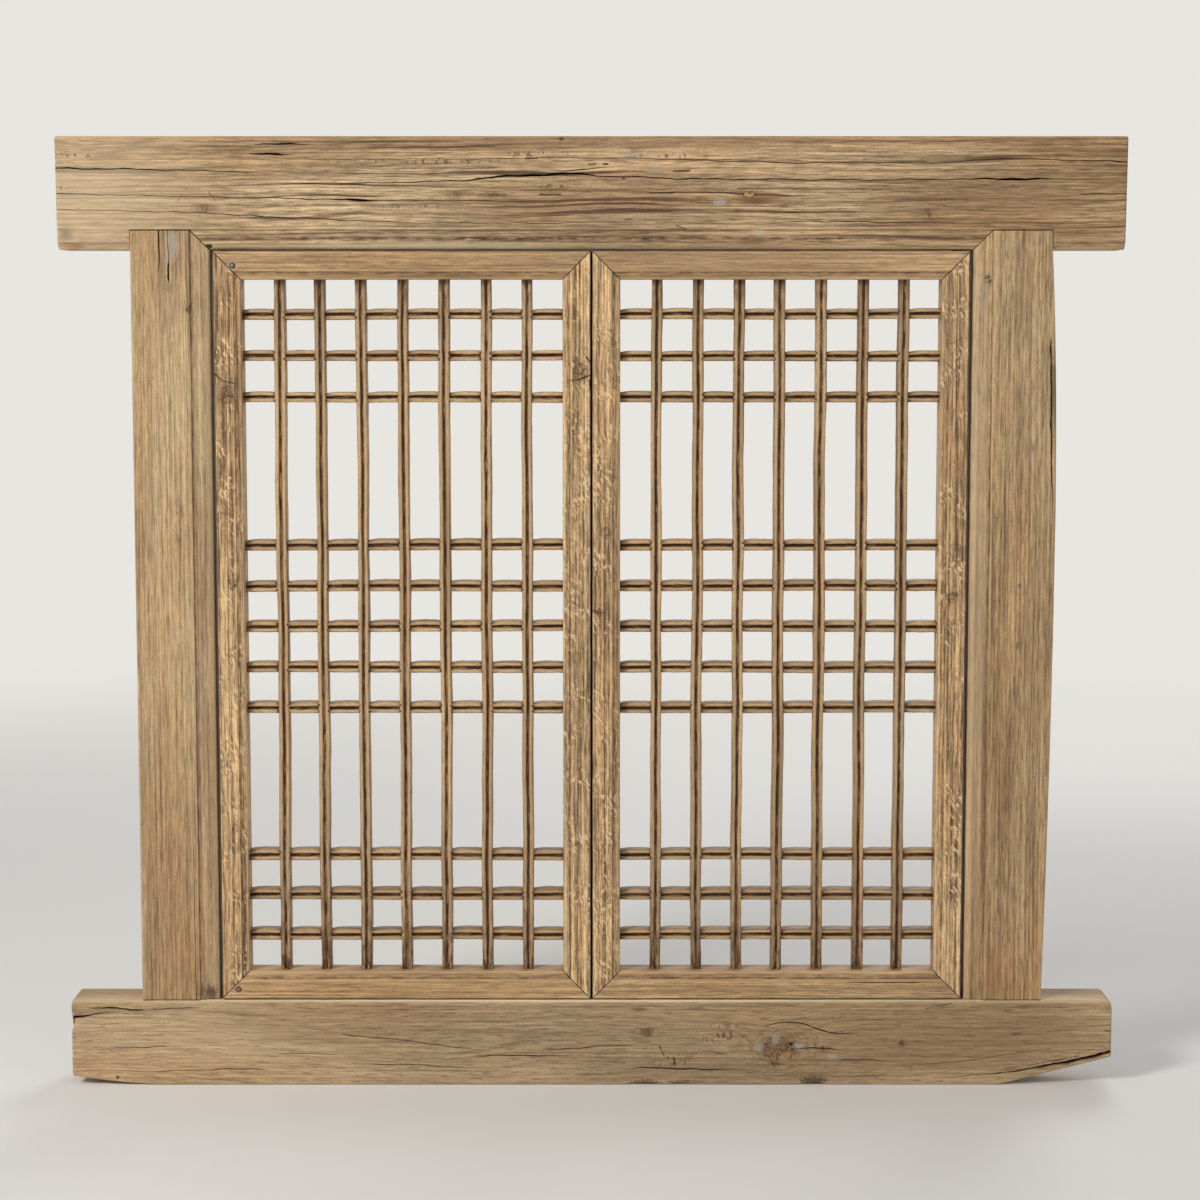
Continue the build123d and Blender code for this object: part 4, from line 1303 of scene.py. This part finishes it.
# The first tone on the next line is pale wood for a small spot and painted light for the broad patches.
PALE_AND_PAINTED_LIGHT, ASH, LEAD, IRON = linear(208, 184, 148), linear(190, 178, 150), linear(110, 102, 96), linear(72, 57, 46)
# This tone is a painted highlight.
PAINTED_HIGHLIGHT = linear(238, 216, 182)

# The broad darker spots here are painted shade: darker over the middle and the right end, along the top, above the
# moulding and in a dent. The large pale spot on the left end is painted light.
lintel_spots = [
    (187, 978, 10, 6, ASH, .6, .6), (-560, 1016, 190, 110, PALE_AND_PAINTED_LIGHT, .6, 1), (60, 1082, 620, 26, PAINTED_SHADE, .5, 1, .7),
    (450, 1010, 300, 90, PAINTED_SHADE, .3, 1, .6), (-60, 1012, 260, 40, PAINTED_SHADE, .42, 1, .7),
    (-20, 988, 300, 12, PAINTED_SHADE, .35, 1, .9), (-200, 962, 260, 5, ASH, .5, .9), (374, 1002, 16, 13, PAINTED_SHADE, .3, .9),
    (188, 1015, 44, 8, KNOT, .55, .9, .3, 6), (176, 1019.5, 7, 3.6, STRAW, .9, .4),
    (143.7, 1011.1, 8.4, 5.4, FILLER, .95, .25), (184, 1011, 24, 3.4, HEART, .75, .9, 1.3),
    (214, 1006.5, 17, 2.8, HEART, .75, .9, 1.3), (122, 1015, 12, 3, HEART, .6, .9, 1.3),
    (40, 1040, 90, 8, RUST, .4, .9, 1), (70, 1045.4, 11, 2.6, FILLER, .85, .3), (46, 1063, 12, 5, FILLER, .5, .5),
    (184, 968, 26, 7, STAIN_AND_SHADE, .35, .9), (-33.4, 1080.8, 4, 3, STAIN_AND_SHADE, .9, .6), (36, 1037, 3, 2, STAIN_AND_SHADE, .8, .6),
    (-429, 962, 5, 3, DARK_CRACK, .95, .4), (-580, 962, 20, 7, RUST, .55, .9, 1),
    (-586, 976, 9, 10, FILLER, .5, .7, 1.2), (-540, 955, 90, 4, STRAW, .5, .8, .8),
    (-152, 1020, 26, 7, STAIN_AND_SHADE, .6, .9, .9, 3), (-108, 1019, 24, 4, STAIN_AND_SHADE, .75, .8, .9),
    (60, 1030, 120, 10, HEART, .4, 1, .9), (-262, 1013, 14, 2.6, STAIN_AND_SHADE, .8, .6), (-436, 1004, 22, 8, STAIN_AND_SHADE, .3, .9),
    (-590, 975, 12, 12, STAIN_AND_SHADE, .35, .9), (-60, 1053, 60, 5, RUST, .45, .9, .3, -4),
    (-540, 1062, 34, 8, STAIN_AND_SHADE, .22, .9, 1.2),
]
lintel_strokes = [
    (-58, 1019.3, -34, 1019.3, 1.3), (65, 1021, 92, 1021.2, 1.2), (-73, 1059, -60, 1059.6, 1.4),
    (-38, 1060, -12, 1060.4, .8), (-3, 1052.5, 4, 1053, 1.6), (14, 1053, 18, 1053, 1.8),
    (92, 1045.3, 110, 1045.6, 1.6), (-428, 1022, -420, 1012, .6), (-452, 1027, -463, 1012, .5),
    (-415, 959, -402, 972, .8), (430.5, 960, 443, 972.5, 1.7), (38, 991, 46, 992, .9), (95, 985, 106, 981, .8),
    (368, 1004, 380, 990, .7),
]
# The broad pale spot on the left is painted light and the broad darker one on the right painted shade. The thin pale
# band over the top is a painted highlight where the top face catches the light.
sill_spots = [
    (-430, 50, 260, 62, PALE_AND_PAINTED_LIGHT, .22, 1), (440, 46, 230, 60, PAINTED_SHADE, .4, 1), (0, 102.6, 900, 6, PAINTED_HIGHLIGHT, .9, .5, 0),
    (218, 43, 27, 22, KNOT, .3, 1, 1.6, 16), (194, 45, 8, 8, FILLER, .85, .7, 2),
    (213, 54, 8, 9, FILLER, .85, .7, 2), (205, 59, 12, 4, FILLER, .6, .8, 2),
    (240, 45, 9, 6, FILLER, .85, .7, 2), (222, 33, 14, 7, STRAW, .5, .9, 2),
    (278, 34, 9, 4.4, FILLER, .9, .6, 1), (230, 48, 3.4, 2.6, DARK_CRACK, .95, .5, 1),
    (212, 25, 8, 3, STAIN_AND_SHADE, .7, .7, 1.4), (358, 49.6, 4, 5, STAIN_AND_SHADE, .7, .7, .3, 3),
    (490, 60.2, 12, 2.6, STAIN_AND_SHADE, .6, .8, .3, 3), (-547.8, 8.9, 2.4, 2.6, DARK_CRACK, .9, .5),
    (65, 62, 9, 5, STAIN_AND_SHADE, .35, .9, .3, 4), (55, 89, 14, 3.5, STAIN_AND_SHADE, .5, .8), (120, 90, 16, 3, STAIN_AND_SHADE, .4, .8),
    # These three spots paint shade into the chips of the lower arris.
    (62, 3, 24, 5, STAIN_AND_SHADE, .7, .7, 1.4), (104, 3, 20, 4, STAIN_AND_SHADE, .6, .7, 1.4), (256, 5, 20, 7, STAIN_AND_SHADE, .85, .6, 1.4),
    (-590, 82, 12, 5, STAIN_AND_SHADE, .6, .9, 1.2),
]
sill_strokes = [
    (100, 47, 150, 37, .6), (78, 46, 84, 34, 1), (94, 33, 97, 22, 1), (208, 44, 228, 46, 1), (215, 34, 238, 28, .9),
    (205, 33, 212, 20, .7), (200, 17, 180, 14, .5), (-320, 41, -250, 58, .4), (-440, 76, -415, 77.5, .6),
    (-390, 66, -330, 66, .4), (395, 93, 415, 96, .6), (385, 89, 395, 93, .6), (592, 64, 600, 63, 1),
    (470, 18, 520, 26, .6), (520, 26, 562, 34, .9), (-600, 56, -596, 56, .8), (300, 10, 340, 12, .7),
]
stile_strokes = [
    (-425, 820, -417, 812, 1.6), (-417, 812, -401, 808, .9), (-416, 797, -402, 793, .9), (-420, 790, -408, 795, .7),
    (-33, 811.5, -14, 813, .8), (-14, 813, -1, 818, 1.6), (-6, 838, -1, 832, 1.5), (-2, 812, -1, 803, 2.2),
    (.5, 552, 8, 549, 1),
    (8, 548, 15, 549, .6), (20, 868, 30, 868, .6), (1, 378, 6, 374, 1.3), (418, 860, 402, 852, .5),
]
stile_knots = [
    (-411, 796, 9, 11, 2.6, .85), (-408, 582, 6, 8, 2.4, .7), (-12, 822, 10, 13, 2.4, .7), (9, 549, 5, 6, 2.4, .8),
    (16, 640, 8, 8, 2, .5), (410, 566, 7, 9, 2.5, .8), (-409, 300, 5, 7, 2.2, .6), (411, 222, 5, 6, 2.2, .5),
]
# The first spot, darker along the moulding, is painted shade.
left_post_spots = [
    (-443, 560, 14, 70, PAINTED_SHADE, .35, .9), (-470, 965, 9, 21, FILLER, .8, .6, 1.3),
    (-475, 946, 4.5, 12, FILLER, .7, .7, 1.2), (-474, 916, 6, 10, STAIN_AND_SHADE, .35, .9, 1.2),
    (-440, 108, 15, 13, STAIN_AND_SHADE, .75, .8, 1.2), (-452, 892, 4, 6, STAIN_AND_SHADE, .5, .7, .3, 2),
    (-503, 890, 2, 6, STAIN_AND_SHADE, .5, .8),
]
# The long pale spot on the moulding is painted light that lifts its shade, and the broad darker spot on the outer part
# is painted shade.
right_post_spots = [
    (438, 530, 13, 480, PALE_AND_PAINTED_LIGHT, .38, .7, 0), (445, 925, 4, 4, PALE_AND_PAINTED_LIGHT, .7, .5, .3, 3),
    (500, 480, 20, 130, PAINTED_SHADE, .35, .9), (441, 905, 9, 24, FILLER, .4, .8, .9), (521, 800, 7, 70, STAIN_AND_SHADE, .6, .8, .9),
    (458, 562, 2.4, 2.4, LEAD, .85, .5), (486, 580, 3.4, 3.4, LEAD, .85, .5), (484, 512, 2.4, 7, HEART, .7, .7, 1.2),
    (458, 125, 9, 30, RUST, .4, .9),
]
# The broad darker spot over the right top rail is painted shade; the others are stains round the nails.
rail_spots = [
    (-403, 940.5, 6.5, 5.5, IRON, .75, .8, .8), (-407, 112.5, 6, 6, IRON, .65, .8, .8),
    (-412, 943, 8, 4, LEAD, .5, .9, .8), (215, 944, 260, 30, PAINTED_SHADE, .36, 1),
]
print(len(lintel_spots) + len(sill_spots), "spots on the long timbers")

# %% Make the woods
lintel_zones = [(-575, 1063, 34, 5), (-590, 1028, 16, 5), (-190, 1056, 150, 5), (-60, 1064, 60, 6), (-240, 1030, 40, 4),
                (-200, 1006, 60, 4), (380, 998, 14, 14), (90, 1062, 70, 5)]
lintel_knots = [(176, 1019, 9, 4.5, 2.2, 0.9), (-40, 1027, 22, 5, 1.6, 0.6), (-436, 1004, 10, 5, 1.5, 0.5)]
sill_knots = [(217, 43, 24, 17, 2.6, 0.75), (358, 49.6, 4, 5, 1.5, 0.7), (65, 62, 9, 6, 2.0, 0.6)]
bar_look = dict(tones=(linear(200, 166, 122), linear(170, 134, 94), linear(104, 68, 40)), ring_width=2.6, warp=2.5,
                rings=0.4, streaks=0.7, lines=0.35, tone_range=0.22, speckles=0.3, fibres=0.4)
woods = {
    "lintel": make_wood(
        "lintel wood", False, (linear(198, 170, 131), linear(166, 137, 101), FRAME_DARK), 4.2, 7.0, (70.0, 870.0), 0.3,
        0.65, 1.0, fibres=0.54, threads=0.95, pores=0.4, spots=lintel_spots, strokes=lintel_strokes,
        knots=lintel_knots, tool_zones=lintel_zones, streak_zone=(120, 1006, 560, 46)),
    "sill": make_wood(
        "sill wood", False, (linear(190, 163, 125), linear(162, 135, 100), linear(112, 83, 55)), 5.5, 11.0,
        (90.0, -60.0), 1.7, 0.36, 0.3, lines=0.3, fibres=0.3, threads=0.26, pores=0.4, roughness=0.68,
        spots=sill_spots, strokes=sill_strokes, knots=sill_knots,
        tool_zones=[(262, 47, 24, 16), (150, 60, 40, 22), (92, 30, 40, 14)]),
    "left_post": make_wood(
        "left post wood", True, (linear(196, 168, 127), linear(172, 143, 105), FRAME_DARK), 3.2, 3.5, (60.0, 120.0),
        2.4, 0.45, 0.6, fibres=0.36, threads=0.35, pores=0.25, spots=left_post_spots,
        knots=[(-452, 892, 4, 7, 1.6, 0.8)], tool_zones=[(-492, 808, 16, 12), (-470, 650, 16, 40)]),
    "right_post": make_wood(
        "right post wood", True, (linear(190, 159, 116), linear(158, 127, 89), FRAME_DARK), 3.0, 3.5, (70.0, -300.0),
        3.1, 0.18, 0.25, lines=0.2, fibres=0.46, threads=0.16, pores=0.4, spots=right_post_spots,
        knots=[(445, 925, 4, 5, 1.8, 0.8)]),
    "stile": make_wood(
        "sash stile wood", True, (linear(206, 172, 126), linear(184, 149, 106), SASH_DARK), 3.3, 3.0, (-8.0, 60.0),
        4.2, 0.52, 0.1, lines=0.42, fibres=0.72, threads=0.42, speckles=0.2, curl=0.35, flecks=0.9,
        strokes=stile_strokes, knots=stile_knots, front=SASH_FRONT),
    "rail": make_wood(
        "sash rail wood", False, (linear(202, 168, 124), linear(178, 144, 102), SASH_DARK), 3.0, 4.0, (30.0, 300.0),
        5.1, 0.45, 0.5, lines=0.35, fibres=0.36, pores=0.3, threads=0.25, spots=rail_spots, front=SASH_FRONT),
    "upright": make_wood("upright wood", True, pith=(20.0, 40.0), shift=6.2, patina=0.9, **bar_look),
    "crossbar": make_wood("crossbar wood", False, pith=(20.0, 200.0), shift=7.3, patina=1.4, **bar_look),
}
print("woods:", ", ".join(sorted(woods)))

# %% [markdown]
# ## Grow the lattice
#
# Each tree is run on an empty object. Its inputs are set by socket identifier, the result is copied to a plain
# mesh, and the modifier is taken off, so what is left is an ordinary piece.

# %% Grow both lattices
def grow(name, tree, values):
    """Runs a geometry tree with the given inputs and keeps its result as a plain mesh."""
    piece = place_mesh(name, bpy.data.meshes.new(name))
    modifier = piece.modifiers.new("grow", "NODES")
    modifier.node_group = tree
    for item in tree.interface.items_tree:
        if item.in_out == "INPUT":
            value = values[item.name]
            modifier[item.identifier] = value * MM if item.socket_type == "NodeSocketFloat" else value
    grown = settle(piece, modifier)
    grown.name = name
    grown.set_sharp_from_angle(angle=math.radians(50))
    print(f"{name}: {triangles(grown)} triangles")
    return piece


UPRIGHTS, ROWS = 7, 11
LET_IN = 4.0
pitch = span("left_sash_upright_2")[0][0] - span("left_sash_upright_1")[0][0]
cell = pitch - BAR_WIDTH
row_z = [sum(span(f"left_sash_crossbar_{number:02d}")[2]) / 2 for number in range(1, ROWS + 1)]
inner_low, inner_high = sash_low + STOCK, sash_high - STOCK
lattice = []
for side, hand in hands:
    left_edge, right_edge = sorted((side * hanging_in, side * meeting_in))
    shared = {"Pitch": pitch, "Front": BAR_FRONT + 0.1, "Seed": 5 if side < 0 else 9}
    lattice.append((hand, grow(f"{hand}_uprights", uprights_tree, {
        **shared, "Count": UPRIGHTS, "Left": left_edge + cell + BAR_WIDTH / 2, "Bottom": inner_low - LET_IN,
        "Length": inner_high - inner_low + 2 * LET_IN, "Width": BAR_WIDTH + 0.6, "Depth": BAR_DEPTH - 0.4,
        "Groove": 2.5, "Material": woods["upright"],
    }), grow(f"{hand}_crossbars", crossbars_tree, {
        **shared, "Cells": UPRIGHTS + 1, "Cell": cell, "Left": left_edge, "Length": right_edge - left_edge,
        "End Rows": 3, "Middle Rows": 5, "First Low": row_z[0], "First Middle": row_z[3], "First High": row_z[8],
        "Width": BAR_WIDTH + 0.8, "Depth": BAR_DEPTH - 0.2, "Groove": 3.2, "Pinch": 1.8, "Tuck": 1.2,
        "Let In": LET_IN, "Material": woods["crossbar"],
    })))

# %% [markdown]
# ## Nails
#
# Two hand-forged nails hold the corners of the left sash. A forged head is a low dome with flat hammered
# facets, never a perfect circle, so its rings wobble. The shank is square and hidden in the wood.

# %% Forge the nails
def forge_nail(name, x, z, seed, sides=18):
    random = np.random.default_rng(seed)
    wobble = 1 + 0.07 * random.standard_normal(sides)
    wobble = (wobble + np.roll(wobble, 1) + np.roll(wobble, -1)) / 3
    head = [(2.95, 0.1), (2.9, -0.35), (2.5, -0.8), (1.8, -1.05), (0.9, -1.2)]
    shank = [(0.1, 1.5), (20.0, 1.4), (26.0, 0.5)]
    square = ((-1, -1), (1, -1), (1, 1), (-1, 1))
    work = bmesh.new()
    loft(work, [[(x + radius * wide * math.cos(turn), SASH_FRONT + rise + 0.05 * random.standard_normal(),
                  z + radius * wide * math.sin(turn)) for wide, turn in zip(wobble, turns(sides))]
                for radius, rise in head], tips=((x, SASH_FRONT + 0.1, z), (x, SASH_FRONT - 1.22, z)))
    loft(work, [[(x + half * across, SASH_FRONT + deep, z + half * up) for across, up in square]
                for deep, half in shank])
    mesh = lofted_mesh(work, name)
    rubbed = mesh.attributes.new("wear", "FLOAT", "POINT")
    for point, wear in zip(mesh.vertices, rubbed.data):
        away = math.hypot(point.co.x / MM - x, point.co.z / MM - z)
        wear.value = (1.9 - away) * (point.co.y / MM < SASH_FRONT)
    shade(mesh, 35)
    print(f"{name}: {len(mesh.polygons)} faces")
    return place_mesh(name, mesh)


def make_iron():
    """Old nail iron: near black, worn to bare metal on the crown, with a little rust."""
    material, tree, shader, place = new_material("nail iron")
    patches = remap(noise(place, 900.0, 3.0), 0.42, 0.62)
    crown = reckon("MULTIPLY", fact(tree, "wear"), 0.8, use_clamp=True)
    colour = blend(crown, blend(patches, linear(46, 40, 36), linear(74, 56, 44)), linear(158, 152, 144))
    plug(shader, {
        "Base Color": colour, "Metallic": remap(patches, 0.0, 1.0, 0.5, 0.2),
        "Roughness": remap(patches, 0.0, 1.0, 0.38, 0.7),
        "Normal": add_bump(tree, noise(place, 1500.0, 3.0), 0.5, 0.2)})
    return material


iron = make_iron()
nails = {}
for number, node in enumerate(("left_sash_upper_nail", "left_sash_lower_nail"), 1):
    across, _, up = span(node)
    nails[node] = forge_nail(f"forged_{node}", sum(across) / 2, sum(up) / 2, number)
    nails[node].data.materials.append(iron)

# %% [markdown]
# ## Tie the pieces to the solids
#
# Each worn piece now stands for its solid and moves with that solid's body. Opening a sash
# then swings its stiles, rails, bars and nails together.

# %% Ride and replace
def stand_for(piece, body, slot_name, *nodes):
    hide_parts(*nodes)
    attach(piece, body)


def numbered(pattern, count):
    return [pattern.format(number) for number in range(1, count + 1)]


for piece, node in ((lintel, "lintel"), (sill, "sill"), (left_post, "left_post"), (right_post, "right_post")):
    piece.data.materials.append(woods[node])
    stand_for(piece, "frame", "frame_wood", node)
for node, piece in timbers.items():
    piece.data.materials.append(woods["stile" if "stile" in node else "rail"])
    stand_for(piece, "left_sash" if node.startswith("left") else "right_sash", "sash_wood", node)
for hand, uprights, crossbars in lattice:
    sash = f"{hand}_sash"
    stand_for(uprights, sash, "lattice_wood", *numbered(sash + "_upright_{}", UPRIGHTS))
    stand_for(crossbars, sash, "lattice_wood", *numbered(sash + "_crossbar_{:02d}", ROWS))
for node, nail in nails.items():
    stand_for(nail, "left_sash", "nail_iron", node)
print("pieces:", 4 + len(timbers) + 2 * len(lattice) + len(nails))

# %% [markdown]
# ## Floor and light
#
# The floor is a plain pale disc. Far from the window it fades into the same colour as the world, so there is
# no horizon line. The camera and mirrors see a pale world, while the light that reaches the wood is softer.
# One large lamp stands high on the left, as the shading of the posts shows, a weak one fills from the right,
# and one lights the back.

# %% Floor
PALE = linear(232, 230, 225)


def seen_directly(tree):
    """1 for what the camera sees, also in mirrors and through glass, and 0 for light that falls on things."""
    rays = wire(tree, "ShaderNodeLightPath", output=None)
    return reckon("ADD", rays["Is Camera Ray"], rays["Is Glossy Ray"] + rays["Is Transmission Ray"], use_clamp=True)


def make_floor():
    mesh = bpy.data.meshes.new("floor")
    work = bmesh.new()
    bmesh.ops.create_circle(work, cap_ends=True, radius=14.0, segments=96)
    work.to_mesh(mesh)
    work.free()
    material, tree, shader, place = new_material("pale floor")
    plug(shader, {"Base Color": PALE, "Roughness": 0.8})
    glow = wire(tree, "ShaderNodeEmission", {"Color": PALE, "Strength": 1.0})
    fade = remap(length(place), 1.2, 4.2) * seen_directly(tree)
    mixed = wire(tree, "ShaderNodeMixShader", {0: fade, 1: Signal(shader.outputs[0]), 2: glow})
    plug(tree.nodes["Material Output"], {"Surface": mixed})
    mesh.materials.append(material)
    floor = place_mesh("floor", mesh)
    floor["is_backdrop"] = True
    return floor


floor = make_floor()
print("floor:", len(floor.data.vertices), "points round its rim")

# %% World and lamps
def make_world():
    world = bpy.data.worlds.new("soft room")
    bpy.context.scene.world = world
    world.use_nodes = True
    tree = world.node_tree
    tree.nodes.clear()
    room = wire(tree, "ShaderNodeBackground", {"Color": linear(246, 248, 252), "Strength": 0.36})
    pale = wire(tree, "ShaderNodeBackground", {"Color": PALE, "Strength": 1.0})
    mixed = wire(tree, "ShaderNodeMixShader", {0: seen_directly(tree), 1: room, 2: pale})
    plug(tree.nodes.new("ShaderNodeOutputWorld"), {"Surface": mixed})


def add_lamp(name, place, aim, size, power, tint):
    light = bpy.data.lights.new(name, "AREA")
    light.shape = "DISK"
    light.size = size
    light.energy = power
    light.color = tint
    lamp = bpy.data.objects.new(name, light)
    lamp.location = place
    away = np.array(place) - np.array(aim)
    lamp.rotation_euler = (math.acos(away[2] / np.linalg.norm(away)), 0.0, math.atan2(away[1], away[0]) + math.pi / 2)
    bpy.context.collection.objects.link(lamp)


make_world()
add_lamp("key", (-2.3, -2.5, 2.5), (0.0, 0.0, 0.6), 1.1, 98.0, (1.0, 0.985, 0.96))
add_lamp("fill", (2.6, -2.4, 1.2), (0.0, 0.0, 0.5), 2.2, 14.0, (0.97, 0.985, 1.0))
add_lamp("behind", (1.2, 3.0, 2.4), (0.0, 0.0, 0.6), 2.0, 40.0, (1.0, 1.0, 1.0))
bpy.context.scene.view_settings.view_transform = "Standard"
print("lamps:", [item.name for item in bpy.data.lights])

# %% [markdown]
# ## The size
#
# The worn model is drawn to stay inside the box of the solids. Both boxes are printed.

# %% Write both boxes and finish
worn_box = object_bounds()
for kind, box in (("solids", cad_box), ("worn", worn_box)):
    print(kind, [[round(value, 4) for value in corner] for corner in box])
